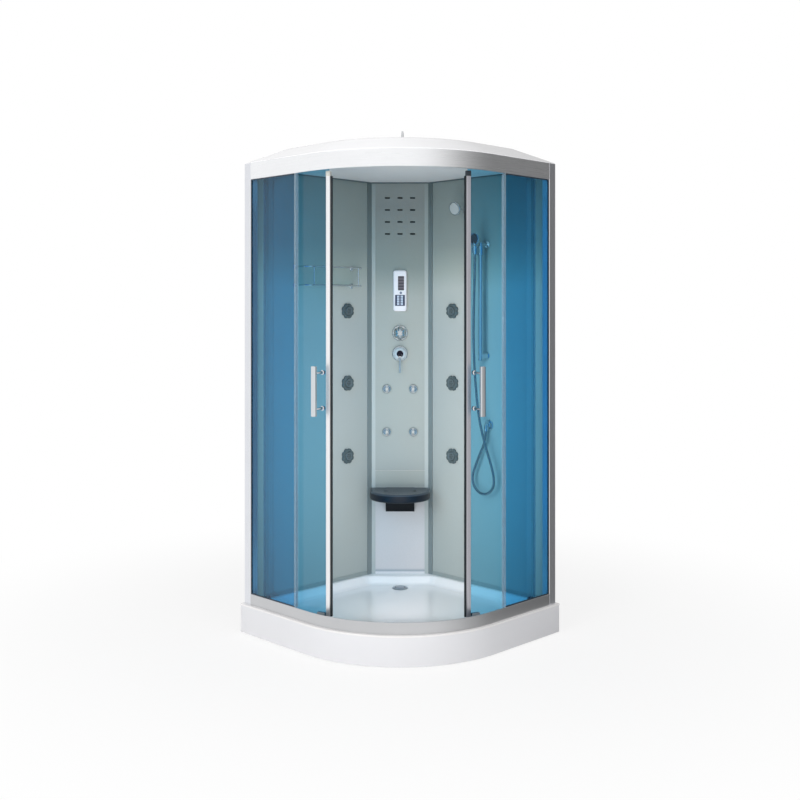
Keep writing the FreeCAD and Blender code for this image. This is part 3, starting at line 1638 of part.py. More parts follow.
def handset_slider():
    """Slider clamped round the slide bar, with an open cradle for the handset's handle."""
    body = new_body("handset_slider")
    low = size.slider_middle - size.slider_height / 2
    sketch = new_sketch(body, "XY_Plane", low)
    circle(sketch, ZERO, ZERO, size.slider_radius)
    pad(body, sketch, size.slider_height)
    cradle_low = size.slider_middle - size.holder_height / 2
    sketch = new_sketch(body, "XY_Plane", cradle_low)
    circle(sketch, size.handset_offset, ZERO, size.holder_radius)
    pad(body, sketch, size.holder_height)
    sketch = new_sketch(body, "XY_Plane", cradle_low)
    arm = size.holder_arm_half
    rectangle(sketch, ZERO, -arm, size.handset_offset - size.holder_radius / 2, arm)
    pad(body, sketch, size.holder_height)
    sketch = new_sketch(body, "XY_Plane", low)
    circle(sketch, ZERO, ZERO, size.riser_radius + size.slider_gap)
    pocket(body, sketch, size.slider_height, backwards=True)
    sketch = new_sketch(body, "XY_Plane", cradle_low)
    circle(sketch, size.handset_offset, ZERO, size.handle_radius + size.slider_gap)
    pocket(body, sketch, size.holder_height, backwards=True)
    sketch = new_sketch(body, "XY_Plane", cradle_low)
    half_slot = size.holder_slot / 2
    rectangle(sketch, size.handset_offset, -half_slot, size.handset_offset + size.holder_radius, half_slot)
    pocket(body, sketch, size.holder_height, backwards=True)
    return in_corner(body, RISER_X, size.riser_from_corner)


def handset():
    """Hand shower: hose nut, tapered handle through the cradle, and a round head that looks inwards."""
    foot, radius = size.handle_foot, size.handle_radius
    cradle_top = size.slider_middle + size.holder_height / 2 + size.slider_gap
    handle = turned_body("handset_handle", [
        (ZERO, foot),
        (size.nut_radius, foot),
        (size.nut_radius, foot + size.nut_length),
        (radius, foot + size.nut_length),
        (radius, cradle_top),
        (radius + size.edge_bevel, cradle_top),
        (radius + size.edge_bevel, cradle_top + size.handle_collar),
        (size.nut_radius, cradle_top + size.handle_collar * 2),
        (size.nut_radius, size.handle_top),
        (ZERO, size.handle_top),
    ])
    depth, radius = size.handset_head_depth, size.handset_head_radius
    head = turned_body("handset_head", [
        (ZERO, -depth),
        (radius * size.handset_back_share, -depth),
        (radius * size.handset_side_share, -depth * size.handset_side_depth_share),
        (radius, -depth * size.handset_edge_depth_share),
        (radius * size.handset_front_share, ZERO),
        (size.handset_face_radius, ZERO),
        (size.handset_face_radius, size.handset_face_depth),
        (ZERO, size.handset_face_depth),
    ])
    rise = size.handle_top + size.handset_head_rise
    place(head, size.handset_head_out, ZERO, rise, size.handset_head_angle, (0, 1, 0))
    return in_corner(joined("handset", [handle, head]), HANDSET_X, size.riser_from_corner, ZERO)


def hose_elbow():
    """Wall outlet elbow for the hose, on a round rose, with its outlet down."""
    rose = rod("elbow_rose", size.elbow_flange_radius, size.elbow_flange_depth)
    place(rose, ZERO, ZERO, ZERO, as_size(90), (0, 1, 0))
    arm = rod("elbow_arm", size.elbow_radius, size.elbow_stand_off)
    place(arm, ZERO, ZERO, ZERO, as_size(90), (0, 1, 0))
    bend = ball("elbow_bend", size.elbow_radius)
    place(bend, size.elbow_stand_off, ZERO, ZERO)
    drop = size.elbow_height - size.elbow_outlet
    tail = turned_body("elbow_tail", [
        (ZERO, ZERO),
        (size.elbow_radius, ZERO),
        (size.elbow_radius, -drop + size.nut_length),
        (size.nut_radius, -drop + size.nut_length),
        (size.nut_radius, -drop),
        (ZERO, -drop),
    ])
    place(tail, size.elbow_stand_off, ZERO, ZERO)
    elbow = joined("hose_elbow", [rose, arm, bend, tail])
    return in_corner(elbow, WALL_FACE, size.elbow_from_corner, size.elbow_height)


# The hose's route in the corner frame, from the handset's nut down to the loop and up to the elbow.
HOSE_ROUTE = [
    (110.5, 598.7, 1681.8), (109.5, 597.5, 1600.0), (106.0, 590.5, 1495.0), (101.5, 583.0, 1375.0),
    (97.0, 579.5, 1250.0), (92.5, 583.0, 1130.0), (88.0, 590.0, 1020.0), (84.0, 601.5, 925.0),
    (80.0, 621.5, 840.0), (76.0, 645.5, 768.0), (73.0, 667.5, 708.0), (70.5, 678.5, 660.6),
    (68.5, 678.5, 623.4), (66.5, 659.9, 591.1), (64.5, 627.6, 572.5), (62.5, 590.4, 572.5),
    (60.5, 558.1, 591.1), (58.5, 539.5, 623.4), (56.5, 539.5, 660.6), (54.0, 560.5, 711.0),
    (51.5, 580.0, 757.0), (49.5, 600.2, 796.2), (48.3, 609.0, 829.0), (48.0, 611.0, 859.2),
]


ARC_RUN_SHARE = 0.45


def hose_path(points):
    """Straight runs joined by arcs that touch both runs, each as large as its two runs allow."""
    edges, start, radii = [], points[0], []
    for before, corner, after in zip(points, points[1:], points[2:]):
        run_in, run_out = corner - before, after - corner
        half_turn = run_in.getAngle(run_out) / 2
        tangent = min(run_in.Length, run_out.Length) * ARC_RUN_SHARE
        arc_start = corner - run_in.normalize() * tangent
        arc_end = corner + run_out.normalize() * tangent
        radius = tangent / math.tan(half_turn)
        radii.append(radius)
        to_middle = ((arc_start + arc_end) * 0.5 - corner).normalize()
        middle = corner + to_middle * (radius / math.cos(half_turn) - radius)
        edges.append(Part.LineSegment(start, arc_start).toShape())
        edges.append(Part.Arc(arc_start, middle, arc_end).toShape())
        start = arc_end
    edges.append(Part.LineSegment(start, points[-1]).toShape())
    return Part.Wire(edges), radii


def shower_hose():
    """Flexible hose from the handset's nut to the wall elbow, its loop hanging below the elbow."""
    points = [FreeCAD.Vector(*point) for point in HOSE_ROUTE]
    wire, radii = hose_path(points)
    radius = size.hose_radius.value
    direction = points[1] - points[0]
    section = Part.Wire([Part.Circle(points[0], direction, radius).toShape()])
    tube = wire.makePipeShell([section], True, False)
    print("hose bend radii", [round(bend) for bend in radii])
    share = tube.Volume / (math.pi * radius**2 * wire.Length)
    print("hose length", round(wire.Length), "volume share", share)
    hose = doc.addObject("Part::Feature", "shower_hose")
    hose.Label = "shower_hose"
    hose.Shape = tube
    return in_corner(hose)


def overhead_arm():
    """Short arm of the overhead spray: wall rose, rising tube and the ball at its end."""
    rose = rod("head_rose", size.head_flange_radius, size.head_flange_depth)
    place(rose, ZERO, ZERO, ZERO, as_size(90), (0, 1, 0))
    foot = size.head_flange_depth / 2
    run = size.head_reach - foot
    tube = rod("head_tube", size.head_arm_radius, root(run * run + size.head_rise * size.head_rise))
    lean = 90 - math.degrees(math.atan2(size.head_rise.value, run.value))
    place(tube, foot, ZERO, ZERO, as_size(lean), (0, 1, 0))
    end = ball("head_pivot_ball", size.head_ball_radius)
    place(end, size.head_reach, ZERO, size.head_rise)
    arm = joined("overhead_arm", [rose, tube, end])
    return in_corner(arm, WALL_FACE, size.head_from_corner, size.head_height)


def overhead_head():
    """Round spray head with a collar that grips the arm's ball; its face looks into the cabin."""
    gap = size.running_gap
    ball_radius = size.head_ball_radius + gap
    face = size.head_ball_radius + size.head_neck_depth
    body = turned_body("overhead_disc", [
        (ZERO, -face),
        (size.head_radius * size.head_face_share, -face),
        (size.head_radius, -face + size.head_disc_depth * size.head_front_depth_share),
        (size.head_radius, -face + size.head_disc_depth * size.head_back_depth_share),
        (size.head_collar_radius, -face + size.head_disc_depth * size.head_shoulder_depth_share),
        (size.head_collar_radius, ball_radius * size.collar_depth_share),
        (ball_radius * size.neck_radius_share, ball_radius * size.collar_depth_share),
        (ball_radius * size.neck_radius_share, -ball_radius * size.neck_depth_share),
        (ZERO, -ball_radius * size.neck_depth_share),
    ])
    socket = ball("overhead_socket", ball_radius)
    disc = cut_from("overhead_head", body, [socket])
    across = (size.head_from_corner - WALL_FACE - size.head_reach) / ROOT_TWO
    back = CORNER_Y - (size.head_from_corner + WALL_FACE + size.head_reach) / ROOT_TWO
    turn = FreeCAD.Rotation(FreeCAD.Vector(0, 0, 1), CORNER_TURN.value)
    lean = FreeCAD.Rotation(FreeCAD.Vector(0, 1, 0), size.head_face_angle.value - 90)
    height = size.head_height + size.head_rise
    disc.Placement = FreeCAD.Placement(
        FreeCAD.Vector(across.value, back.value, height.value), turn.multiply(lean))
    for letter, value in (("x", across), ("y", back), ("z", height)):
        bind(disc, f"Placement.Base.{letter}", value)
    return disc


def supply_pipes():
    """Hot and cold manifold behind the column: two inlets, risers to both valves and cross pipes."""
    behind = size.manifold_from_face
    half = size.manifold_spacing / 2
    pieces = []
    low, high = size.inlet_height, size.diverter_height
    for side, label in ((-1, "hot"), (1, "cold")):
        riser = rod(f"{label}_riser", size.manifold_radius, high - low + size.manifold_radius)
        pieces.append(place(riser, side * half, COLUMN_FACE_Y + behind, low))
        for name, radius, length in (
            ("collar", size.inlet_collar_radius, size.inlet_collar_length + size.manifold_radius),
            ("spigot", size.inlet_radius, size.inlet_length + size.manifold_radius),
        ):
            inlet = rod(f"{label}_inlet_{name}", radius, length)
            middle = low + size.manifold_radius
            pieces.append(place(inlet, side * half, COLUMN_FACE_Y + behind, middle, as_size(-90), (1, 0, 0)))
    for label, height in VALVES:
        cross = rod(f"{label}_cross_pipe", size.cross_pipe_radius, size.manifold_spacing)
        pieces.append(place(cross, -half, COLUMN_FACE_Y + behind, height, as_size(90), (0, 1, 0)))
        tail = rod(f"{label}_tail", size.tail_pipe_radius, behind - size.valve_body_depth)
        back = COLUMN_FACE_Y + size.valve_body_depth
        pieces.append(place(tail, ZERO, back, height, as_size(-90), (1, 0, 0)))
    return joined("supply_pipes", pieces)


def frame_screws():
    """Countersunk screws that join the posts to the rails, seen on the posts' inner faces."""
    screws = []
    half_profile = [
        (ZERO, ZERO),
        (size.screw_head_radius, ZERO),
        (size.screw_top_radius, size.screw_head_height),
        (ZERO, size.screw_head_height),
    ]
    heights = (RIM + size.rail_height * size.screw_on_rail_share, size.header_top - size.header_height / 2)
    for number, height in enumerate(heights, start=1):
        screw = turned_body(f"frame_screw_{number}", half_profile)
        middle = size.frame_inset + size.post_width * size.screw_on_post_share
        across = (FRAME_FACE - size.post_depth - middle) / ROOT_TWO
        back = CORNER_Y - (FRAME_FACE - size.post_depth + middle) / ROOT_TWO
        turn = FreeCAD.Rotation(FreeCAD.Vector(0, 0, 1), CORNER_TURN.value)
        lay = FreeCAD.Rotation(FreeCAD.Vector(1, 0, 0), 90)
        screw.Placement = FreeCAD.Placement(
            FreeCAD.Vector(across.value, back.value, height.value), turn.multiply(lay))
        for letter, value in (("x", across), ("y", back), ("z", height)):
            bind(screw, f"Placement.Base.{letter}", value)
        screws += [screw, mirrored(f"left_frame_screw_{number}", screw)]
    return group("frame_screws", screws)


POLE_Y = ARC_MIDDLE_Y + size.pole_behind
PANE_MIDDLE_Y = ARC_MIDDLE_Y - FRAME_RADIUS + size.pane_setback + size.pane_radius
OPEN_ANGLES = {"right": size.right_open_angle, "left": size.left_open_angle}


def along_pane(length):
    """The angle, at the pane's own arc centre, of a place that far along the pane."""
    return length / size.pane_radius * DEGREES


def on_door(thing, side, length, z=ZERO):
    """Places a thing drawn at the pane's arc centre, x outwards, at a length along the door."""
    opened = OPEN_ANGLES[side]
    reach_y = PANE_MIDDLE_Y - POLE_Y
    x = size.pole_across * cosine(opened) - reach_y * sine(opened) - size.pole_across
    y = POLE_Y + size.pole_across * sine(opened) + reach_y * cosine(opened)
    return place(thing, x, y, z, opened - 90 + along_pane(length))


def at_pole(thing, side, closed_angle, z=ZERO):
    """Places a thing drawn at the door's pole, x outwards, at its angle when the door is closed."""
    return place(thing, -size.pole_across, POLE_Y, z, OPEN_ANGLES[side] - closed_angle)


def twin(side, name, piece):
    """The piece itself on the right door, or its mirror image on the left one."""
    if side == "right":
        piece.Label = name
        return piece
    return mirrored(name, piece)


def arc_piece(name, side, inner, outer, low, high, start, end):
    """A curved piece of a door: a rectangle in radius and height turned about the pane's centre."""
    body = new_body(name)
    sketch = new_sketch(body, "XZ_Plane")
    rectangle(sketch, inner, low, outer, high)
    revolve(body, sketch, "V_Axis", along_pane(end - start))
    return on_door(body, side, start)


HALF_GLASS = size.glass / 2
STILE_START = size.meeting_gap + size.magnet_width
GLASS_START = STILE_START + size.stile_width - size.stile_bite
HANDLE_HEIGHTS = (size.handle_middle - size.handle_pitch / 2, size.handle_middle + size.handle_pitch / 2)


def door_glass(side):
    """Curved toughened pane of a door, drilled for the handle."""
    inner, outer = size.pane_radius - HALF_GLASS, size.pane_radius + HALF_GLASS
    bent = arc_piece(f"{side}_bent_pane", side, inner, outer,
                     size.pane_bottom, size.pane_top, GLASS_START, size.pane_length)
    drills = []
    for number, height in enumerate(HANDLE_HEIGHTS, start=1):
        drill = new_body(f"{side}_drill_{number}")
        sketch = new_sketch(drill, "YZ_Plane", inner - size.overrun)
        circle(sketch, ZERO, height, size.handle_hole_radius)
        pad(drill, sketch, size.overrun * 2 + size.glass)
        drills.append(on_door(drill, side, size.handle_setback))
    pane = cut_from(f"{side}_drilled_pane", bent, drills)
    return twin(side, f"{side}_door_glass", pane)


def door_stile(side):
    """Aluminium stile on the leading edge, a channel round the glass edge."""
    body = new_body(f"{side}_stile_profile")
    radius, depth, width = size.pane_radius, size.stile_depth / 2, size.stile_width / 2
    slot = HALF_GLASS + size.carrier_slot_gap / 2
    bevel = size.edge_bevel
    bite = width - size.stile_bite - size.running_gap
    sketch = new_sketch(body, "XY_Plane", size.stile_bottom)
    outline(sketch, [
        (radius - depth, -width),
        (radius + depth - bevel, -width),
        (radius + depth, -width + bevel),
        (radius + depth, width - bevel),
        (radius + depth - bevel, width),
        (radius + slot, width),
        (radius + slot, bite),
        (radius - slot, bite),
        (radius - slot, width),
        (radius - depth, width),
    ])
    pad(body, sketch, size.stile_top - size.stile_bottom)
    on_door(body, side, STILE_START + width)
    return twin(side, f"{side}_door_stile", body)


def door_seals(side):
    """Magnetic seal on the stile, rear fin seal on the trailing edge, and the stile's end stop."""
    radius = size.pane_radius
    magnet = new_body(f"{side}_magnet")
    half = size.magnet_depth / 2
    sketch = new_sketch(magnet, "XY_Plane", size.stile_bottom)
    end = size.magnet_width / 2 - size.rolling_gap
    rectangle(sketch, radius - half, -size.magnet_width / 2, radius + half, end)
    pad(magnet, sketch, size.stile_top - size.stile_bottom)
    on_door(magnet, side, size.meeting_gap + size.magnet_width / 2)
    stopper = new_body(f"{side}_stopper")
    sketch = new_sketch(stopper, "XY_Plane", size.stile_top)
    depth, width = size.stile_depth / 2, size.stile_width / 2
    bite = width - size.stile_bite - size.running_gap
    slot = HALF_GLASS + size.carrier_slot_gap / 2
    outline(sketch, [
        (radius - depth, -width), (radius + depth, -width), (radius + depth, width), (radius + slot, width),
        (radius + slot, bite), (radius - slot, bite), (radius - slot, width), (radius - depth, width),
    ])
    pad(stopper, sketch, size.stopper_height)
    on_door(stopper, side, STILE_START + width)
    fin = new_body(f"{side}_fin")
    sketch = new_sketch(fin, "XY_Plane", size.stile_bottom)
    rectangle(sketch, radius - size.fin_thickness, ZERO, radius + size.fin_thickness, size.fin_length)
    pad(fin, sketch, HEADER_BOTTOM - size.stile_bottom)
    on_door(fin, side, size.pane_length + size.rolling_gap)
    seals = group(f"{side}_seal_set", [magnet, stopper, fin])
    return twin(side, f"{side}_door_seals", seals)


def door_handle(side):
    """Chromed bar handle on two posts, bolted through the glass to roses inside."""
    radius, half_glass = size.pane_radius, HALF_GLASS
    outside = radius + half_glass
    reach = radius + size.handle_stand_off
    bar = new_body(f"{side}_handle_bar")
    low = size.handle_middle - size.handle_length / 2
    half = size.handle_width / 2
    bevel = size.wide_bevel
    sketch = new_sketch(bar, "XY_Plane", low)
    rounded_rectangle(sketch, reach, -half, reach + size.handle_bar, half, bevel)
    pad(bar, sketch, size.handle_length)
    on_door(bar, side, size.handle_setback)
    pieces = [bar]
    for number, height in enumerate(HANDLE_HEIGHTS, start=1):
        post = new_body(f"{side}_handle_post_{number}")
        inside = radius - half_glass
        rose = size.handle_rose_depth
        gap = size.rolling_gap
        sketch = new_sketch(post, "XY_Plane")
        outline(sketch, [
            (inside - gap - rose, ZERO),
            (inside - gap - rose, size.handle_rose_radius),
            (inside - gap, size.handle_rose_radius),
            (inside - gap, size.handle_bolt_radius),
            (outside + gap, size.handle_bolt_radius),
            (outside + gap, size.handle_rose_radius),
            (outside + gap + rose, size.handle_rose_radius),
            (outside + gap + rose, size.handle_post_radius),
            (reach + size.handle_bar / 2, size.handle_post_radius),
            (reach + size.handle_bar / 2, ZERO),
        ])
        revolve(post, sketch, "H_Axis")
        pieces.append(on_door(post, side, size.handle_setback, height))
    handle = joined(f"{side}_handle_set", pieces)
    return twin(side, f"{side}_door_handle", handle)


def pane_from_pole(closed_angle):
    """How far the pane's middle surface is from the door's pole, in the direction of an angle."""
    across = size.pole_across * cosine(closed_angle)
    reach_y = PANE_MIDDLE_Y - POLE_Y
    along = across - reach_y * sine(closed_angle)
    offset = size.pole_across * size.pole_across + reach_y * reach_y
    return along + root(size.pane_radius * size.pane_radius - offset + along * along)


WHEELS = (("front", size.front_wheel_angle), ("rear", size.rear_wheel_angle))
CARRIER_PLACES = {"front": size.carrier_inset, "rear": size.pane_length - size.carrier_inset}
GUIDE_PLACES = {"front": size.guide_inset, "rear": size.pane_length - size.guide_inset}


def carrier_clamp(side, label):
    """Clamp over the top edge of the glass, the body of a roller carrier."""
    body = new_body(f"{side}_{label}_clamp")
    radius = size.pane_radius
    slot = HALF_GLASS + size.carrier_slot_gap
    low = size.pane_top - size.carrier_drop
    roof_low = size.pane_top + size.rolling_gap
    inner, outer = radius - slot - size.carrier_back, radius + slot + size.carrier_cheek
    sketch = new_sketch(body, "XZ_Plane", -size.carrier_width / 2)
    outline(sketch, [
        (inner, low),
        (radius - slot, low),
        (radius - slot, roof_low),
        (radius + slot, roof_low),
        (radius + slot, low),
        (outer, low),
        (outer, roof_low + size.carrier_cap),
        (inner, roof_low + size.carrier_cap),
    ])
    pad(body, sketch, size.carrier_width)
    return on_door(body, side, CARRIER_PLACES[label])


def carrier_axle(side, label, closed_angle):
    """Axle of a roller, square to its circular track, from the clamp through the wheel to its head."""
    half = size.wheel_width / 2
    gap = size.running_gap
    wheel_in, wheel_out = size.track_radius - half - gap, size.track_radius + half + gap
    back = pane_from_pole(closed_angle) - HALF_GLASS - size.carrier_back / 2
    axle = new_body(f"{side}_{label}_axle")
    sketch = new_sketch(axle, "XY_Plane")
    outline(sketch, [
        (wheel_in - size.axle_head_width, ZERO),
        (wheel_in - size.axle_head_width, size.axle_head_radius),
        (wheel_in, size.axle_head_radius),
        (wheel_in, size.axle_radius),
        (wheel_out, size.axle_radius),
        (wheel_out, size.axle_head_radius),
        (back, size.axle_head_radius),
        (back, ZERO),
    ])
    revolve(axle, sketch, "H_Axis")
    return at_pole(axle, side, closed_angle, size.axle_height)


def bottom_guide(side, label):
    """Plastic guide on the bottom edge of the glass; the front one has a fin in the rail's channel."""
    body = new_body(f"{side}_{label}_guide")
    radius = size.pane_radius
    slot = HALF_GLASS + size.carrier_slot_gap
    cheek = size.guide_cheek
    high = size.pane_bottom + size.guide_height
    floor = size.pane_bottom - size.rolling_gap
    low = floor - size.guide_cap
    sketch = new_sketch(body, "XZ_Plane", -size.carrier_width / 2)
    outline(sketch, [
        (radius - slot - cheek, low),
        (radius + slot + cheek, low),
        (radius + slot + cheek, high),
        (radius + slot, high),
        (radius + slot, floor),
        (radius - slot, floor),
        (radius - slot, high),
        (radius - slot - cheek, high),
    ])
    pad(body, sketch, size.carrier_width)
    if label == "front":
        sketch = new_sketch(body, "XY_Plane", low)
        half = size.guide_fin_width / 2
        rectangle(sketch, radius - half, -size.carrier_width / 2, radius + half, size.carrier_width / 2)
        pad(body, sketch, size.guide_fin_drop, backwards=True)
    return on_door(body, side, GUIDE_PLACES[label])


def door_carriers(side):
    """Two roller carriers and two bottom guides of a door."""
    pieces = []
    for label, closed_angle in WHEELS:
        clamp = carrier_clamp(side, label)
        axle = carrier_axle(side, label, closed_angle)
        pieces.append(joined(f"{side}_{label}_carrier", [clamp, axle]))
        pieces.append(bottom_guide(side, label))
    carriers = group(f"{side}_carrier_set", pieces)
    return twin(side, f"{side}_door_carriers", carriers)


def door_wheel(side, label, closed_angle):
    """Grooved nylon roller that runs on the track's rib."""
    half, groove = size.wheel_width / 2, size.wheel_groove_width / 2
    outer, middle = size.wheel_radius, size.track_radius
    wheel = new_body(f"{side}_{label}_roller")
    bevel = size.edge_bevel / 2
    sketch = new_sketch(wheel, "XY_Plane")
    outline(sketch, [
        (middle - half, size.wheel_bore_radius),
        (middle - half, outer - bevel),
        (middle - half + bevel, outer),
        (middle - groove, outer),
        (middle - groove, size.wheel_groove_radius),
        (middle + groove, size.wheel_groove_radius),
        (middle + groove, outer),
        (middle + half - bevel, outer),
        (middle + half, outer - bevel),
        (middle + half, size.wheel_bore_radius),
    ])
    revolve(wheel, sketch, "H_Axis")
    at_pole(wheel, side, closed_angle, size.axle_height)
    return twin(side, f"{side}_{label}_wheel", wheel)


def roller_tracks():
    """Curved tracks under the header's web, one about each door's pole, with a rib for the wheels."""
    body = new_body("right_track")
    rib_top = size.axle_height - size.wheel_groove_radius - size.rolling_gap
    ledge = rib_top - size.track_rib_height
    low = ledge - size.track_wall
    half_rib = size.track_rib_width / 2
    middle = size.track_radius
    top = size.header_top - size.web
    sketch = new_sketch(body, "XZ_Plane")
    outline(sketch, [
        (size.track_inner, low),
        (size.track_outer, low),
        (size.track_outer, ledge),
        (middle + half_rib, ledge),
        (middle + half_rib, rib_top),
        (middle - half_rib, rib_top),
        (middle - half_rib, ledge),
        (size.track_inner + size.track_wall, ledge),
        (size.track_inner + size.track_wall, top),
        (size.track_inner, top),
    ])
    revolve(body, sketch, "V_Axis", size.track_start_angle - size.track_end_angle)
    place(body, -size.pole_across, POLE_Y, ZERO, -size.track_start_angle)
    return group("roller_tracks", [body, mirrored("left_track", body)])


def build():
    """Makes every sub-part in the order in which the enclosure is put together."""
    for make in (tray_frame, tray_feet, waste_trap, shower_tray, waste_cover, tray_skirt,
                 bottom_rail, top_rail, roller_tracks):
        node(make())
    post = wall_post()
    node(group("wall_posts", [post, mirrored("left_wall_post", post)]))
    pane = fixed_glass()
    node(group("fixed_glass", [pane, mirrored("left_fixed_pane", pane)]))
    seals = glazing_seals()
    node(group("glazing_seals", seals + [mirrored("left_" + seal.Name, seal) for seal in seals]))
    wall = wall_panel()
    node(group("wall_panels", [wall, mirrored("left_wall_pane", wall)]))
    trims = wall_trims()
    node(group("wall_trims", trims + [mirrored("left_" + trim.Name, trim) for trim in trims]))
    profile = corner_profile()
    node(group("corner_profiles", [profile, mirrored("left_corner_profile", profile)]))
    for make in (column_panel, column_lower_panel, supply_pipes, valve_plates, diverter_knob,
                 mixer_cap, mixer_lever, column_nozzles, controller_case, controller_window,
                 seat_bracket, seat_board, shelf, riser_rail, handset_slider, handset,
                 hose_elbow, shower_hose, overhead_arm, overhead_head, frame_screws,
                 ceiling_panel, roof, antenna):
        node(make())
    sockets, heads = body_jets()
    node(sockets)
    for head in heads:
        node(head)
    for side in ("left", "right"):
        for make in (door_glass, door_stile, door_seals, door_handle, door_carriers):
            node(make(side))
        for label, closed_angle in WHEELS:
            node(door_wheel(side, label, closed_angle))


def check_and_export():
    """Stops if an object failed or a sub-part is not a valid solid, then writes every sub-part."""
    doc.recompute()
    failed = [thing.Name for thing in doc.Objects if {"Invalid", "Error"} & set(thing.State)]
    if failed:
        raise RuntimeError(f"failed objects: {failed}")
    for piece in NODES:
        shape = piece.Shape
        if shape.isNull() or not shape.isValid() or not shape.Solids:
            raise RuntimeError(f"{piece.Label} is not a valid solid")
    for piece in NODES:
        piece.Shape.exportStep(f"parts/{piece.Label}.step")
    print(len(NODES), "sub-parts written")


build()
check_and_export()
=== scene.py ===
import math

import bmesh
import bpy
from mathutils import Matrix, Vector


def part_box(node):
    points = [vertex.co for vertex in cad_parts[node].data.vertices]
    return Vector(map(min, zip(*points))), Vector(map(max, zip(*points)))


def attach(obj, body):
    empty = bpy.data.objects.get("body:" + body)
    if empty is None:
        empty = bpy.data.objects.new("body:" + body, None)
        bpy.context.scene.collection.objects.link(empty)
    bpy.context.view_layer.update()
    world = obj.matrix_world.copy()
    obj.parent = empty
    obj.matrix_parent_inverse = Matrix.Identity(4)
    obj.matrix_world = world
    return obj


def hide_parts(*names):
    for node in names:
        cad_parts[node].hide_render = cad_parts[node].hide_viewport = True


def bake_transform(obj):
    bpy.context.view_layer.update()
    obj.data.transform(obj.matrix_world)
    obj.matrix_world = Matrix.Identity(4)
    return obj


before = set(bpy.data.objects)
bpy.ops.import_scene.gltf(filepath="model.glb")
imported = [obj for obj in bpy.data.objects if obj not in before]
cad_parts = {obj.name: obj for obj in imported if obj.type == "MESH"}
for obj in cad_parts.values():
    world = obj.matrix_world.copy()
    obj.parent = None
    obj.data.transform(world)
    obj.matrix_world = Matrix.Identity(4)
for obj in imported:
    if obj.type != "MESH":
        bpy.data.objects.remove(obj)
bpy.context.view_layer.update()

# Camera
# A level view from 4.8 m in front of the cabin at the height of a standing person's eyes. The
# picture is shifted down, so that upright edges stay parallel as they do in the photograph.
CAMERA_PLACE = (0, -4.839, 1.421)
SENSOR_WIDTH = 36.0
PHOTO_FOCAL_SHARE = 1069 / 800
PHOTO_SHIFT_SHARE = 89 / 800


def add_object(name, data):
    """A new object in the scene."""
    made = bpy.data.objects.new(name, data)
    bpy.context.scene.collection.objects.link(made)
    return made


camera_data = bpy.data.cameras.new("camera")
camera_data.sensor_width = SENSOR_WIDTH
camera_data.lens = SENSOR_WIDTH * PHOTO_FOCAL_SHARE
camera_data.shift_y = -PHOTO_SHIFT_SHARE
camera_data.clip_end = 60
camera = add_object("camera", camera_data)
camera.location = CAMERA_PLACE
camera.rotation_euler = (math.radians(90), 0, 0)
bpy.context.scene.camera = camera

# Hose
# Spiral-wound metal shower hose. It hangs from the handset's foot, makes a loop below the wall
# elbow and rises to it. The route's points are in millimetres from the right and left walls.
HOSE_ROUTE = [
    (110.5, 598.7, 1681.8), (109.5, 597.5, 1600.0), (106.0, 590.5, 1495.0), (101.5, 583.0, 1375.0),
    (97.0, 579.5, 1250.0), (92.5, 583.0, 1130.0), (88.0, 590.0, 1020.0), (84.0, 601.5, 925.0),
    (80.0, 621.5, 840.0), (76.0, 645.5, 768.0), (73.0, 667.5, 708.0), (70.5, 678.5, 660.6),
    (68.5, 678.5, 623.4), (66.5, 659.9, 591.1), (64.5, 627.6, 572.5), (62.5, 590.4, 572.5),
    (60.5, 558.1, 591.1), (58.5, 539.5, 623.4), (56.5, 539.5, 660.6), (54.0, 560.5, 711.0),
    (51.5, 580.0, 757.0), (49.5, 600.2, 796.2), (48.3, 609.0, 829.0), (48.0, 611.0, 859.2),
]
HOSE_DIAMETER, HOSE_LENGTH, HOSE_RING_PITCH = 0.012, 1.504, 0.0048
HOSE_RING_SHAPE = (1, 0.97, 0.86, 0.97)
HALF_ROOT = math.sqrt(0.5)
TRAY_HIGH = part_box("shower_tray")[1]
CORNER_Y = TRAY_HIGH.y


def corner_point(from_right_wall, from_left_wall, height, side=1):
    """A point given by its distances from the two walls' lines. side -1 swaps right and left."""
    across = (from_left_wall - from_right_wall) * HALF_ROOT
    depth = CORNER_Y - (from_right_wall + from_left_wall) * HALF_ROOT
    return Vector((side * across, depth, height))


def colour(red, green, blue):
    """An sRGB colour, 0 to 255, as the linear values that the shaders use."""
    def linear(value):
        value /= 255
        return value / 12.92 if value <= 0.04045 else ((value + 0.055) / 1.055) ** 2.4
    return (linear(red), linear(green), linear(blue), 1.0)


def shader_node(tree, kind, inputs=(), **settings):
    """A shader node. An input takes a number, a socket, or a node for that node's first output."""
    node = tree.nodes.new("ShaderNode" + kind)
    for name, value in settings.items():
        setattr(node, name, value)
    for name, value in dict(inputs).items():
        if isinstance(value, bpy.types.Node):
            value = value.outputs[0]
        if isinstance(value, bpy.types.NodeSocket):
            tree.links.new(value, node.inputs[name])
        else:
            node.inputs[name].default_value = value
    return node


def new_material(name):
    """An empty node material and its tree."""
    made = bpy.data.materials.new(name)
    made.use_nodes = True
    made.node_tree.nodes.clear()
    return made, made.node_tree


def finish_material(made, kind, inputs):
    """Adds the material's surface shader and joins it to the output."""
    tree = made.node_tree
    surface = shader_node(tree, kind, inputs)
    output = shader_node(tree, "OutputMaterial")
    tree.links.new(surface.outputs[0], output.inputs["Surface"])
    return made


def object_place(tree):
    """The place on the object of the point being shaded."""
    return shader_node(tree, "TexCoord").outputs["Object"]


def blend_colours(tree, factor, first, second):
    """Mixes two colours by a factor."""
    return shader_node(tree, "Mix", {"Factor": factor, 6: first, 7: second},
                       data_type="RGBA").outputs[2]


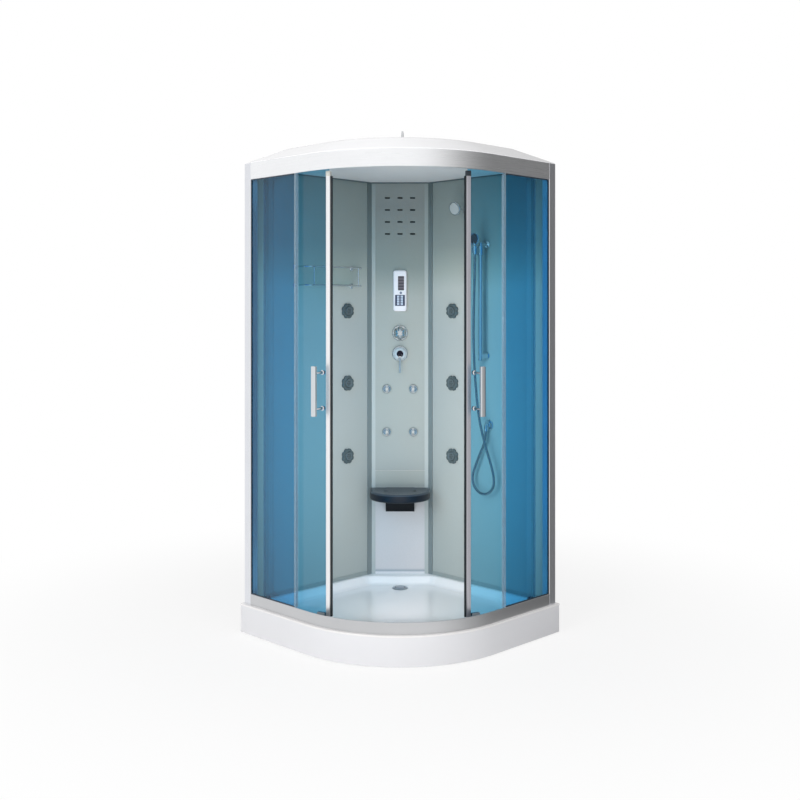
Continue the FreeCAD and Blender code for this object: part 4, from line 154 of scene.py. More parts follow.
def hose_material():
    """Interlocked steel strip: fine rings across the hose, with painted shade in the grooves."""
    made, tree = new_material("hose_steel")
    rings = shader_node(tree, "TexWave", {"Vector": object_place(tree), "Scale": 70.0},
                        bands_direction="Z", wave_profile="SIN").outputs["Fac"]
    bump = shader_node(tree, "Bump", {"Height": rings, "Strength": 0.6, "Distance": 0.0008})
    return finish_material(made, "BsdfPrincipled", {
        # The darker colour in the grooves is painted shade.
        "Base Color": blend_colours(tree, rings, colour(96, 102, 108), colour(206, 210, 214)),
        "Metallic": 1.0, "Roughness": 0.25, "Normal": bump})


def finish_mesh(name, mesh_data, material_made, sharp_angle):
    """Turns a bmesh into an object that is smooth except over edges sharper than the angle."""
    bmesh.ops.remove_doubles(mesh_data, verts=mesh_data.verts, dist=1e-6)
    bmesh.ops.recalc_face_normals(mesh_data, faces=mesh_data.faces)
    for face in mesh_data.faces:
        face.smooth = True
    for edge in mesh_data.edges:
        if len(edge.link_faces) == 2 and edge.calc_face_angle(0) > math.radians(sharp_angle):
            edge.smooth = False
    mesh = bpy.data.meshes.new(name)
    mesh_data.to_mesh(mesh)
    mesh_data.free()
    mesh.materials.append(material_made)
    return add_object(name, mesh)


def ring_skin(name, rings, material_made, sharp_angle=35):
    """A skin over rings of points, closed at both ends."""
    skin = bmesh.new()
    rows = [[skin.verts.new(point) for point in ring] for ring in rings]
    count = len(rows[0])
    for lower, upper in zip(rows, rows[1:]):
        for number in range(count):
            after = (number + 1) % count
            first, second, third, fourth = lower[number], lower[after], upper[after], upper[number]
            if max((first.co - second.co).length, (fourth.co - third.co).length) > 1e-7:
                skin.faces.new([first, second, third, fourth])
    skin.faces.new(rows[0])
    skin.faces.new(list(reversed(rows[-1])))
    return finish_mesh(name, skin, material_made, sharp_angle)


def route_line():
    """The hose's smooth line: points of a NURBS spline through the route's control points."""
    curve = bpy.data.curves.new("hose_route", "CURVE")
    curve.dimensions = "3D"
    curve.resolution_u = 24
    spline = curve.splines.new("NURBS")
    spline.points.add(len(HOSE_ROUTE) - 1)
    for control, (x, y, z) in zip(spline.points, HOSE_ROUTE):
        control.co = (*corner_point(x / 1000, y / 1000, z / 1000), 1)
    spline.order_u = 3
    spline.use_endpoint_u = True
    holder = bpy.data.objects.new("hose_route", curve)
    line = bpy.data.meshes.new_from_object(holder)
    points = [vertex.co.copy() for vertex in line.vertices]
    bpy.data.objects.remove(holder)
    bpy.data.curves.remove(curve)
    bpy.data.meshes.remove(line)
    return points


def even_steps(points, step):
    """Points at an even spacing along a line."""
    spaced, left = [points[0]], step
    for before, after in zip(points, points[1:]):
        run = (after - before).length
        place = left
        while place <= run:
            spaced.append(before.lerp(after, place / run))
            place += step
        left = place - run
    spaced.append(points[-1])
    return spaced


path = even_steps(route_line(), HOSE_RING_PITCH / 4)
sides, rings, across = 14, [], None
for number, point in enumerate(path):
    ahead = (path[min(number + 1, len(path) - 1)] - path[max(number - 1, 0)]).normalized()
    across = ahead.orthogonal() if across is None else across - ahead * across.dot(ahead)
    across.normalize()
    beside = ahead.cross(across)
    radius = HOSE_DIAMETER / 2 * HOSE_RING_SHAPE[number % 4]
    rings.append([point + (across * math.cos(turn) + beside * math.sin(turn)) * radius
                  for turn in (2 * math.pi * side / sides for side in range(sides))])
hose = ring_skin("hose", rings, hose_material(), sharp_angle=80)
top, bottom = path[0], path[-1]
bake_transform(hose)
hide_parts("shower_hose")

# Room
# A pale floor, a white background for what the camera or the metal sees, darker for the metal
# towards the right, and soft lamps: a broad one on the left, weak ones on the right and in front,
# one above the roof and one that fills the cabin.
FLOOR_HALF = 30.0
WORLD_LIGHT = 0.52
WHITE = (1, 1, 1, 1)
DARK_SIDE = (0.94, 0.34, 0)


def dark_side(tree, direction):
    """What metal sees of the room: white, and darker towards the far right."""
    towards = shader_node(tree, "VectorMath", {0: direction, 1: DARK_SIDE},
                          operation="DOT_PRODUCT")
    return shader_node(tree, "MapRange", {
        "Value": towards.outputs["Value"], "From Min": -0.05, "From Max": 1.02, "To Min": 1.0,
        "To Max": 0.13}, interpolation_type="SMOOTHSTEP")


def seen_directly(tree, path):
    """1 for what the camera sees straight or through something clear, 0 for other rays."""
    return shader_node(tree, "Math", {
        0: path.outputs["Is Camera Ray"], 1: path.outputs["Is Transmission Ray"]},
        operation="MAXIMUM")


def make_lamp(name, place, target, width, height, power):
    """A soft box that lights surfaces but isn't mirrored in metal or glass."""
    lamp = bpy.data.lights.new(name, "AREA")
    lamp.shape = "RECTANGLE"
    lamp.size, lamp.size_y, lamp.energy = width, height, power
    holder = add_object(name, lamp)
    holder.visible_camera = holder.visible_glossy = False
    holder.location = place
    aim = Vector(target) - Vector(place)
    holder.rotation_euler = aim.to_track_quat("-Z", "Y").to_euler()


world = bpy.data.worlds.new("studio")
bpy.context.scene.world = world
world.use_nodes = True
tree = world.node_tree
tree.nodes.clear()
path = shader_node(tree, "LightPath")
place = shader_node(tree, "TexCoord")
light = shader_node(tree, "Mix", {
    "Factor": path.outputs["Is Glossy Ray"], "A": WORLD_LIGHT,
    "B": dark_side(tree, place.outputs["Generated"])}, data_type="FLOAT")
strength = shader_node(tree, "Mix", {"Factor": seen_directly(tree, path), "A": light, "B": 1.0},
                       data_type="FLOAT")
sky = shader_node(tree, "Background", {"Color": WHITE, "Strength": strength})
output = shader_node(tree, "OutputWorld")
tree.links.new(sky.outputs[0], output.inputs["Surface"])

made, tree = new_material("floor")
path = shader_node(tree, "LightPath")
place = object_place(tree)
distance = shader_node(tree, "VectorMath", {0: place}, operation="LENGTH")
fade = shader_node(tree, "MapRange", {
    "Value": distance.outputs["Value"], "From Min": 0.8, "From Max": 2.6, "To Min": 0.8,
    "To Max": 1.0}, interpolation_type="SMOOTHSTEP")
share = shader_node(tree, "Math", {0: seen_directly(tree, path), 1: fade},
                    operation="MULTIPLY")
matt = shader_node(tree, "BsdfDiffuse", {"Color": colour(246, 246, 246)})
bright = shader_node(tree, "Emission", {"Color": WHITE, "Strength": 1.0})
lit = shader_node(tree, "MixShader", {0: share, 1: matt, 2: bright})
direction = shader_node(tree, "VectorMath", {0: place}, operation="NORMALIZE")
mirrored = shader_node(tree, "Emission", {
    "Color": WHITE, "Strength": dark_side(tree, direction.outputs[0])})
finish_material(made, "MixShader", {0: path.outputs["Is Glossy Ray"], 1: lit, 2: mirrored})
mesh = bpy.data.meshes.new("floor")
corners = [(x * FLOOR_HALF, y * FLOOR_HALF, 0) for x, y in ((-1, -1), (1, -1), (1, 1), (-1, 1))]
mesh.from_pydata(corners, [], [(0, 1, 2, 3)])
mesh.materials.append(made)
add_object("floor", mesh)
make_lamp("key", (-2.6, -4.4, 2.6), (0, 0, 1), 2.4, 2.8, 112)
make_lamp("fill", (2.9, -4.0, 1.8), (0, 0, 1), 1.6, 2.6, 4)
make_lamp("front", (0.3, -5.4, 1.5), (0, 0.2, 1), 1.8, 1.8, 29)
make_lamp("roof", (0.9, -2.3, 4.4), (0.1, 0, 2.1), 1.6, 1.6, 20)
make_lamp("cabin", (0, -0.40, 0.9), (0, 0.42, 1.05), 0.42, 1.3, 5.0)
bpy.context.scene.view_settings.view_transform = "Standard"

# Aluminium frame
# Satin anodised extrusions with fine die lines along their length: the two curved rails with the
# roller tracks, the wall posts and the door stiles, screwed together at the corners.
ALONG, UPRIGHT = (3.0, 3.0, 900.0), (900.0, 900.0, 3.0)
BRIGHT_SATIN = (246, 247, 249)


def grain_group():
    """Noise on object coordinates, stretched along the axes, as a value and as a bump normal."""
    group = bpy.data.node_groups.new("grain", "ShaderNodeTree")
    for label, kind, default in (("Stretch", "Vector", (1, 1, 1)), ("Scale", "Float", 40.0),
                                 ("Strength", "Float", 0.1), ("Depth", "Float", 0.0002)):
        socket = group.interface.new_socket(label, in_out="INPUT", socket_type="NodeSocket" + kind)
        socket.default_value = default
    for label, kind in (("Value", "Float"), ("Normal", "Vector")):
        group.interface.new_socket(label, in_out="OUTPUT", socket_type="NodeSocket" + kind)
    enter, leave = group.nodes.new("NodeGroupInput"), group.nodes.new("NodeGroupOutput")
    spread = shader_node(group, "VectorMath", {
        0: object_place(group), 1: enter.outputs["Stretch"]}, operation="MULTIPLY")
    noise = shader_node(group, "TexNoise", {
        "Vector": spread, "Scale": enter.outputs["Scale"], "Detail": 4.0, "Roughness": 0.6})
    bump = shader_node(group, "Bump", {
        "Height": noise.outputs["Fac"], "Strength": enter.outputs["Strength"],
        "Distance": enter.outputs["Depth"]})
    group.links.new(noise.outputs["Fac"], leave.inputs["Value"])
    group.links.new(bump.outputs["Normal"], leave.inputs["Normal"])
    return group


GRAIN = grain_group()


def grain(tree, stretch=(1, 1, 1), scale=40.0, strength=0.1, depth=0.0002):
    """The grain group in a material's tree. Its first output is the value."""
    return shader_node(tree, "Group", {
        "Stretch": stretch, "Scale": scale, "Strength": strength, "Depth": depth}, node_tree=GRAIN)


def spread_value(tree, value, low, high):
    """Maps the middle of a 0 to 1 value to low to high."""
    return shader_node(tree, "MapRange", {
        "Value": value, "From Min": 0.3, "From Max": 0.7, "To Min": low, "To Max": high})


def uneven_colour(tree, base, spread, scale):
    """A colour that clouds a little darker in places."""
    dark = [max(value - spread, 0) for value in base]
    return blend_colours(tree, grain(tree, scale=scale), colour(*dark), colour(*base))


def aluminium_material(name, stretch, base, roughness):
    """Satin anodising over die lines that run along the extrusion."""
    made, tree = new_material(name)
    lines = grain(tree, stretch=stretch, scale=1.0, strength=0.12, depth=0.00015)
    return finish_material(made, "BsdfPrincipled", {
        "Base Color": uneven_colour(tree, base, 8, 6.0), "Metallic": 0.9,
        "Roughness": spread_value(tree, lines, roughness * 0.85, roughness * 1.2),
        "Normal": lines.outputs["Normal"]})


def dress(material_made, *nodes):
    """Gives CAD nodes that stay in view their material."""
    for node in nodes:
        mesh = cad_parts[node].data
        mesh.materials.clear()
        mesh.materials.append(material_made)


for finish, stretch, base, roughness, nodes in (
    ("rail_aluminium", ALONG, BRIGHT_SATIN, 0.3, ["top_rail", "roller_tracks"]),
    ("sill_aluminium", ALONG, (205, 206, 208), 0.34, ["bottom_rail"]),
    ("upright_aluminium", UPRIGHT, BRIGHT_SATIN, 0.3, ["left_door_stile"]),
    ("shaded_stile", UPRIGHT, (204, 204, 212), 0.3, ["right_door_stile"]),
    ("post_aluminium", UPRIGHT, (230, 232, 237), 0.3, ["wall_posts"]),
):
    dress(aluminium_material(finish, stretch, base, roughness), *nodes)

# Glass
# Toughened 6 mm panes with a blue-grey body tint: the two flat fixed ones, held in the posts, and
# the two bent doors, drilled for their rollers and handles.


def sheet_glass_material(name, tint, ior, wipe_scale, gloss):
    """Clear tinted glass: each face passes part of the tint, and the near one mirrors by angle."""
    made, tree = new_material(name)
    clear = shader_node(tree, "BsdfTransparent", {"Color": colour(*tint)})
    shine = spread_value(tree, grain(tree, scale=wipe_scale), *gloss)
    mirror = shader_node(tree, "BsdfGlossy", {"Color": WHITE, "Roughness": shine})
    angle = shader_node(tree, "Fresnel", {"IOR": ior})
    side = shader_node(tree, "NewGeometry")
    near = shader_node(tree, "Math", {0: 1.0, 1: side.outputs["Backfacing"]}, operation="SUBTRACT")
    share = shader_node(tree, "Math", {0: angle, 1: near}, operation="MULTIPLY")
    return finish_material(made, "MixShader", {0: share, 1: clear, 2: mirror})


dress(sheet_glass_material("tinted_glass", (192, 232, 247), 1.4, 9.0, (0.015, 0.04)),
      "fixed_glass", "left_door_glass", "right_door_glass")

# Seals and plastic parts of the doors
# Black magnetic strips, clear vinyl on the panes' free edges and rear fins, dark roller carriers,
# grey bottom guides and white nylon rollers.
FIN_FROM, STILE_TOP, FREE_EDGE_TO, GUIDE_TOP = 0.40, 1.978, 0.444, 0.30


def moulded_material(name, base, roughness=0.5, scale=260.0, strength=0.25, spread=10, gloss=0.5):
    """Moulded plastic or rubber with a fine spark-eroded grain and slightly uneven colour."""
    made, tree = new_material(name)
    fine = grain(tree, scale=scale, strength=strength, depth=0.0001)
    return finish_material(made, "BsdfPrincipled", {
        "Base Color": uneven_colour(tree, base, spread, 14.0),
        "Roughness": spread_value(tree, fine, roughness * 0.85, roughness * 1.15),
        "Specular IOR Level": gloss, "Normal": fine.outputs["Normal"]})


def clear_vinyl_material(name, milk):
    """Clear extruded vinyl with fine draw lines; milk is how cloudy it is."""
    made, tree = new_material(name)
    lines = grain(tree, stretch=(700.0, 700.0, 4.0), scale=1.0, strength=0.1, depth=0.0001)
    clear = shader_node(tree, "BsdfTransparent", {"Color": colour(226, 240, 246)})
    body = shader_node(tree, "BsdfPrincipled", {
        "Base Color": colour(206, 222, 230), "Roughness": 0.25, "Normal": lines.outputs["Normal"]})
    return finish_material(made, "MixShader", {
        0: spread_value(tree, lines, milk * 0.8, milk * 1.2), 1: clear, 2: body})


def dress_by_place(node, choose, *materials_made):
    """Gives the pieces of a CAD node several materials, picked by where a face's middle lies."""
    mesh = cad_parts[node].data
    mesh.materials.clear()
    for material_made in materials_made:
        mesh.materials.append(material_made)
    for face in mesh.polygons:
        face.material_index = choose(face.center)


black_rubber = moulded_material("black_rubber", (28, 36, 41), roughness=0.55)
dark_plastic = moulded_material("dark_plastic", (58, 64, 70), roughness=0.4)
grey_plastic = moulded_material("guide_plastic", (140, 148, 154), roughness=0.4)
nylon = moulded_material("nylon", (226, 226, 220), roughness=0.35)
glazing_rubber = moulded_material("glazing_rubber", (44, 60, 74), roughness=0.5)
fin_vinyl = clear_vinyl_material("fin_vinyl", 0.12)
for side, stopper in (("left", nylon), ("right", dark_plastic)):
    dress_by_place(f"{side}_door_seals",
                   lambda at: 1 if abs(at.x) > FIN_FROM else 2 if at.z >= STILE_TOP else 0,
                   black_rubber, fin_vinyl, stopper)
    dress_by_place(f"{side}_door_carriers", lambda at: int(at.z < GUIDE_TOP),
                   dark_plastic, grey_plastic)
    dress(nylon, f"{side}_front_wheel", f"{side}_rear_wheel")
dress_by_place("glazing_seals", lambda at: int(abs(at.x) < FREE_EDGE_TO),
               glazing_rubber, clear_vinyl_material("edge_vinyl", 0.24))

# Tray
# Vacuum-formed white acrylic shell: a rim rounded over on the outside, a flat deck under the rails
# and a drafted basin with soft corners.
SIDE = TRAY_HIGH.x / HALF_ROOT
RADIUS = (2 * TRAY_HIGH.x - 2 * TRAY_HIGH.y) / (math.sqrt(2) - 1)
RIM = TRAY_HIGH.z
ARC_STEPS = 40
BASIN_FRONT, BASIN_WALL, BASIN_DEPTH, BASIN_DRAFT = 0.104, 0.044, 0.038, 0.014
REAR_LEDGE = 0.319
LIP_DEPTH, ACRYLIC, LIP_ROUND = 0.0075, 0.005, 0.004


def adopt(piece, replaced=(), body="root"):
    """Puts a piece on its body and hides the nodes that it stands for."""
    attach(piece, body)
    if replaced:
        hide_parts(*replaced)


def round_corners(corners, steps):
    """Points of a closed outline of (x, y, radius) corners, each rounded by a true arc."""
    points = []
    for number, (x, y, radius) in enumerate(corners):
        corner = Vector((x, y))
        before = (Vector(corners[number - 1][:2]) - corner).normalized()
        after = (Vector(corners[(number + 1) % len(corners)][:2]) - corner).normalized()
        half = before.angle(after) / 2
        centre = corner + (before + after).normalized() * (radius / math.sin(half))
        first = corner + before * (radius / math.tan(half)) - centre
        sweep = math.pi - 2 * half
        turn = 1 if before.x * after.y - before.y * after.x < 0 else -1
        for step in range(steps + 1):
            points.append(centre + Matrix.Rotation(turn * sweep * step / steps, 2) @ first)
    return points


def quadrant_ring(front, wall, height, soft, chamfer):
    """The tray's plan drawn in at the front and the walls, with its rear corner cut off."""
    far, rear_soft = SIDE - front, min(soft, chamfer * 0.9)
    outline = round_corners([
        (far, wall, soft), (far, far, RADIUS - front), (wall, far, soft),
        (wall, wall + chamfer, rear_soft), (wall + chamfer, wall, rear_soft)], ARC_STEPS)
    return [corner_point(x, y, height) for x, y in outline]


def acrylic_material(name, base):
    """Glossy sanitary acrylic: near white, with a faint orange peel in the gloss."""
    made, tree = new_material(name)
    peel = grain(tree, scale=120.0, strength=0.05, depth=0.0002)
    return finish_material(made, "BsdfPrincipled", {
        "Base Color": uneven_colour(tree, base, 4, 3.0),
        "Roughness": spread_value(tree, grain(tree, scale=3.0), 0.136, 0.2),
        "Coat Weight": 0.3, "Coat Roughness": 0.06, "Normal": peel.outputs["Normal"]})


floor, rear_chamfer = RIM - BASIN_DEPTH, 0.004


def basin_ring(inset, height, soft):
    """A ring of the basin, drawn in from its upper edge, with the ledge for the column."""
    wall = BASIN_WALL + inset
    chamfer = REAR_LEDGE + 1.2 * inset - 2 * wall
    return quadrant_ring(BASIN_FRONT + inset, wall, height, soft, chamfer)


basin = [
    (0.10, floor, 0.03), (BASIN_DRAFT + 0.022, floor + 0.0005, 0.05),
    (BASIN_DRAFT + 0.012, floor + 0.002, 0.055), (BASIN_DRAFT + 0.004, floor + 0.007, 0.06),
    (BASIN_DRAFT, floor + 0.014, 0.06), (0.004, RIM - 0.008, 0.06), (0, RIM - 0.003, 0.06),
    (-0.003, RIM - 0.0008, 0.06), (-0.008, RIM, 0.06),
]
lip = [
    (LIP_ROUND + 0.004, 0.004, RIM, 0.006),
    (LIP_ROUND * 0.35, 0.0015, RIM - LIP_ROUND * 0.3, 0.005),
    (LIP_ROUND * 0.07, 0.0005, RIM - LIP_ROUND * 0.65, 0.004),
    (0, 0.0002, RIM - LIP_ROUND, 0.004), (0, 0.0002, RIM - LIP_DEPTH, 0.004),
    (ACRYLIC, ACRYLIC, RIM - LIP_DEPTH, 0.003), (ACRYLIC, ACRYLIC, RIM - ACRYLIC, 0.003),
]
underside = [
    (-ACRYLIC, RIM - ACRYLIC, 0.06), (BASIN_DRAFT - ACRYLIC, floor, 0.06),
    (BASIN_DRAFT + 0.02, floor - ACRYLIC, 0.05),
]
rings = [basin_ring(*place) for place in basin]
rings += [quadrant_ring(*place, rear_chamfer) for place in lip]
rings += [basin_ring(*place) for place in underside]
adopt(ring_skin("tray", rings, acrylic_material("tray_acrylic", (241, 239, 239))),
      ["shower_tray"])

# Skirt
# A thin acrylic apron bent round the front under the tray's lip, with rolled ends and a flange
# turned inwards at its foot.
SKIRT_SHEET, SKIRT_FLANGE, SKIRT_INSET, SKIRT_END_SOFT = 0.004, 0.024, 0.0004, 0.008


def arc(across, along, radius, first, last, steps):
    """Points of an arc about (across, along), between two angles in degrees."""
    turns = [math.radians(first + (last - first) * step / steps) for step in range(steps + 1)]
    return [(across + radius * math.cos(turn), along + radius * math.sin(turn)) for turn in turns]


foot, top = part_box("tray_skirt")[0].z, RIM - LIP_DEPTH


def band_line(depth, height):
    """The skirt's line at a depth behind its face: leg, quarter arc, leg."""
    far, start, edge = SIDE - depth, SIDE - RADIUS, depth + SKIRT_INSET
    soft = max(SKIRT_END_SOFT - depth, 0.0005)
    ending = arc(soft, soft, soft, 180, 270, 6)
    points = [(far - across, edge + along) for across, along in reversed(ending)]
    points += arc(start, start, RADIUS - depth, 0, 90, 56)
    points += [(edge + along, far - across) for across, along in ending]
    return [corner_point(x, y, height) for x, y in points]


section = [
    (0, top), (0, foot + 0.003), (0.0009, foot + 0.0009), (0.003, foot),
    (SKIRT_FLANGE, foot), (SKIRT_FLANGE, foot + SKIRT_SHEET),
    (SKIRT_SHEET, foot + SKIRT_SHEET), (SKIRT_SHEET, top),
]
lines = [band_line(SKIRT_INSET + depth, height) for depth, height in section]
skirt = ring_skin("skirt", list(zip(*lines)),
                  acrylic_material("skirt_acrylic", (232, 232, 235)))
adopt(skirt, ["tray_skirt"])

# Walls and column boards
# Back-frosted grey-green wall panels and column board, darkened towards the ceiling by painted
# shade, with corner profiles and trims in the same tones and painted shade in the profiles'
# recesses, a lower board that is white under the seat and frosted above it, with the seat's
# painted shadow on it, and a white moulded ceiling.
WALL_LOW, WALL_TALL = 0.13, 2.07
COLUMN_FACE, BOARD, CORNER_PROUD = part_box("column_panel")[0].y, 0.0055, 0.004
# The darker tones towards the ceiling in these tables are painted shade, where the header shades
# the tops of the walls, column, profiles and trims.
WALL_TONES_AND_SHADE = (
    (0, (171, 176, 172)), (0.60, (175, 180, 178)), (0.72, (182, 186, 181)),
    (0.765, (166, 172, 165)), (0.83, (144, 152, 148)), (1, (136, 145, 142)))
COLUMN_TONES_AND_SHADE = (
    (0, (160, 164, 162)), (0.45, (168, 171, 165)), (0.70, (168, 170, 163)),
    (0.775, (136, 144, 138)), (0.93, (128, 133, 130)), (1, (142, 147, 143)))
CORNER_TONES_AND_SHADE = (
    (0, (184, 188, 185)), (0.7, (182, 186, 182)), (0.85, (146, 156, 153)), (1, (142, 150, 148)))
# The corner profiles' faces along the walls take these darker tones: painted shade in the recesses
# between profile and wall.
RECESS_SHADE_TONES = ((0, (128, 137, 138)), (0.7, (122, 133, 134)), (1, (92, 103, 103)))
TRIM_TONES_AND_SHADE = ((0, (150, 158, 156)), (1, (96, 108, 108)))
# The dark band at 0.222, at the seat's height, is the seat's painted shadow on the board.
LOWER_BOARD_TONES_AND_SHADOW = (
    (0, (226, 223, 224)), (0.0060, (226, 223, 224)), (0.0080, (150, 158, 165)),
    (0.0125, (212, 206, 206)), (0.11, (206, 203, 204)), (0.213, (192, 190, 190)),
    (0.222, (150, 154, 150)), (0.232, (166, 169, 163)), (1, (168, 171, 165)))


def frosted_material(name, tones, roughness=0.42):
    """Back-frosted board: a fine etched grain, and tones at shares of the walls' height.
    The tone tables also hold painted shade.
    """
    made, tree = new_material(name)
    height = shader_node(tree, "SeparateXYZ", {0: object_place(tree)}).outputs["Z"]
    share = shader_node(tree, "MapRange", {
        "Value": height, "From Min": WALL_LOW, "From Max": WALL_TALL})
    ramp = shader_node(tree, "ValToRGB", {0: share})
    elements = ramp.color_ramp.elements
    elements[0].color, elements[1].color = colour(*tones[0][1]), colour(*tones[-1][1])
    for at_share, tone in tones[1:-1]:
        elements.new(at_share).color = colour(*tone)
    etch = grain(tree, scale=420.0, strength=0.12, depth=0.0001)
    mottled = shader_node(tree, "VectorMath", {
        0: ramp, "Scale": spread_value(tree, etch, 0.96, 1.04)}, operation="SCALE")
    return finish_material(made, "BsdfPrincipled", {
        "Base Color": mottled, "Roughness": roughness, "Normal": etch.outputs["Normal"]})


dress(frosted_material("frosted_wall", WALL_TONES_AND_SHADE), "wall_panels")
dress_by_place("column_panel", lambda at: int(at.y > COLUMN_FACE + BOARD),
               frosted_material("frosted_column", COLUMN_TONES_AND_SHADE), dark_plastic)
dress_by_place("corner_profiles", lambda at: int(at.y < COLUMN_FACE - CORNER_PROUD),
               frosted_material("corner_anodising", CORNER_TONES_AND_SHADE, roughness=0.35),
               frosted_material("corner_recess_shade", RECESS_SHADE_TONES))
dress(frosted_material("trim_anodising", TRIM_TONES_AND_SHADE, roughness=0.35), "wall_trims")
dress(frosted_material("lower_board", LOWER_BOARD_TONES_AND_SHADOW, roughness=0.3), "column_lower_panel")
dress(moulded_material("ceiling_board", (234, 229, 227), scale=90.0, spread=4), "ceiling_panel")

# Drain cover
# Chromed round grate, domed, with a ring of slots let into its top, drawn as a flat dark ring of
# painted shade. Its neck pushes into the waste, so that it lifts out for cleaning.


def chrome_material(name, base=(214, 218, 222), roughness=0.09):
    """Chrome plating with faint wipe marks that vary its gloss."""
    made, tree = new_material(name)
    marks = grain(tree, scale=55.0, strength=0.05, depth=0.0001)
    return finish_material(made, "BsdfPrincipled", {
        "Base Color": colour(*base), "Metallic": 1.0,
        "Roughness": spread_value(tree, marks, roughness * 0.7, roughness * 1.5),
        "Normal": marks.outputs["Normal"]})


def lathe(name, profile, at, material_made, segments=64, sharp_angle=35, lobes=0, lobe_depth=0.0,
          lobed_from=0.0):
    """A skin of (radius, height) points turned about the z axis of at. lobes waves the rim."""
    skin = bmesh.new()

    def ring(radius, height):
        depth, points = lobe_depth if radius > lobed_from else 0, []
        for number in range(segments if radius > 0 else 1):
            angle = 2 * math.pi * number / segments
            waved = radius - depth * abs(math.cos(lobes * angle / 2)) ** 6
            points.append(Vector((waved * math.cos(angle), waved * math.sin(angle), height)))
        return [skin.verts.new(at @ point) for point in points]

    rows = [ring(radius, height) for radius, height in profile]
    for lower, upper in zip(rows, rows[1:]):
        for number in range(segments):
            corners = [lower[number % len(lower)], lower[(number + 1) % len(lower)],
                       upper[(number + 1) % len(upper)], upper[number % len(upper)]]
            distinct = [corner for place, corner in enumerate(corners)
                        if corner not in corners[:place]]
            if len(distinct) > 2:
                skin.faces.new(distinct)
    for row in (rows[0], rows[-1]):
        if len(row) > 1:
            skin.faces.new(row)
    return finish_mesh(name, skin, material_made, sharp_angle)


def soft_profile(points, radius, steps=3):
    """Rounds the inner corners of a (radius, height) line by small curves."""
    softened = [points[0]]
    for before, corner, after in zip(points, points[1:], points[2:]):
        corner_at = Vector(corner)
        back, on = Vector(before) - corner_at, Vector(after) - corner_at
        reach = min(radius, back.length * 0.45, on.length * 0.45)
        start, end = corner_at + back.normalized() * reach, corner_at + on.normalized() * reach
        for step in range(steps + 1):
            share = step / steps
            softened.append(tuple(start * (1 - share) ** 2 + corner_at * 2 * share * (1 - share)
                                  + end * share ** 2))
    softened.append(points[-1])
    return softened


def turned(name, points, soft, at, material_made, slot, replaced=(), body="root", **form):
    """A turned piece with softened edges, on its body."""
    adopt(lathe(name, soft_profile(points, soft), at, material_made, **form), replaced, body)


chrome = chrome_material("chrome")

low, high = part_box("waste_cover")
centre = (low + high) / 2
at = Matrix.Translation((centre.x, centre.y, low.z))
rim, top, neck, slots_from = (high.x - low.x) / 2, high.z - low.z, 0.0296, 0.0215
turned("drain_cover", [
    (0, 0), (neck, 0), (neck, 0.005), (rim, 0.005), (rim, 0.0065),
    (rim - 0.004, top - 0.001), (rim - 0.010, top), (rim - 0.012, top - 0.002),
    (0.022, top - 0.002), (0.021, top), (0, top)], 0.0008, at,
    chrome_material("drain_chrome", base=(186, 191, 198), roughness=0.35), "chrome",
    ["waste_cover"])
# A flat dark ring over the slots: painted shade in the openings.
slots = [(slots_from, top - 0.0018), (rim - 0.0125, top - 0.0018)]
adopt(lathe("drain_slot_shade", slots, at, dark_plastic))

# Controller
# Silver moulded case with soft corners, screwed to the column from behind, with a dark liquid
# crystal display over a membrane keypad of small keys.
DISPLAY_PLACE, KEYPAD_PLACE, POWER_KEY_PLACE = (0.005, 1.557), (0, 1.473), (0.004, 1.510)
KEY_ROWS, LOWEST_KEY, KEY_STEP_ACROSS, KEY_STEP_UP = 4, 1.4555, 0.0098, 0.012


def facing_frame(origin, facing):
    """A frame at origin: z along facing, y up and x to the side."""
    side = Vector((0, 0, 1)).cross(facing).normalized()
    turn = Matrix((side, facing.cross(side), facing)).transposed().to_4x4()
    return Matrix.Translation(origin) @ turn


def on_column(x, z, out=0.0):
    """A frame on the column's face: x across, y up and z out towards the doors."""
    return facing_frame((x, COLUMN_FACE - out, z), Vector((0, -1, 0)))


def rounded_plate(name, at, size, corner, profile, material_made, replaced=()):
    """A plate with round corners whose edge follows (inset, height out) points."""
    rings = []
    for inset, out in profile:
        half_x, half_y = size[0] / 2 - inset, size[1] / 2 - inset
        soft = max(corner - inset, 0.0004)
        outline = round_corners([(-half_x, -half_y, soft), (half_x, -half_y, soft),
                                 (half_x, half_y, soft), (-half_x, half_y, soft)], 8)
        rings.append([at @ Vector((x, y, out)) for x, y in outline])
    adopt(ring_skin(name, rings, material_made), replaced)


def display_material():
    """Dark liquid crystal window with two pale rows of segments."""
    made, tree = new_material("display")
    bars = shader_node(tree, "TexWave", {"Vector": object_place(tree), "Scale": 22.0},
                       bands_direction="Z", wave_profile="SIN").outputs["Fac"]
    return finish_material(made, "BsdfPrincipled", {
        "Base Color": blend_colours(tree, bars, colour(66, 60, 68), colour(104, 96, 104)),
        "Roughness": 0.12})


low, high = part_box("controller_case")
middle, size = (low + high) / 2, high - low
depth = size.y
silver = moulded_material("silver_case", (244, 236, 238), roughness=0.3, strength=0.08, spread=5)
rounded_plate("controller", on_column(middle.x, middle.z), (size.x, size.z), 0.012, [
    (0, 0), (0, depth * 0.6), (0.0012, depth * 0.82), (0.004, depth * 0.94),
    (0.009, depth)], silver, ["controller_case"])
rounded_plate("controller_screen", on_column(*DISPLAY_PLACE, depth), (0.030, 0.070), 0.002, [
    (0, -0.001), (0, 0.0004), (0.0005, 0.0008)], display_material(),
    ["controller_window"])
rounded_plate("controller_keypad", on_column(*KEYPAD_PLACE, depth), (0.048, 0.054), 0.002, [
    (0, -0.001), (0, 0.0003), (0.0004, 0.0006)],
    moulded_material("keypad", (60, 68, 92), roughness=0.4))
pale = moulded_material("key_pale", (212, 218, 232), roughness=0.35, spread=4)
grey = moulded_material("key_grey", (128, 134, 150), roughness=0.35, spread=4)
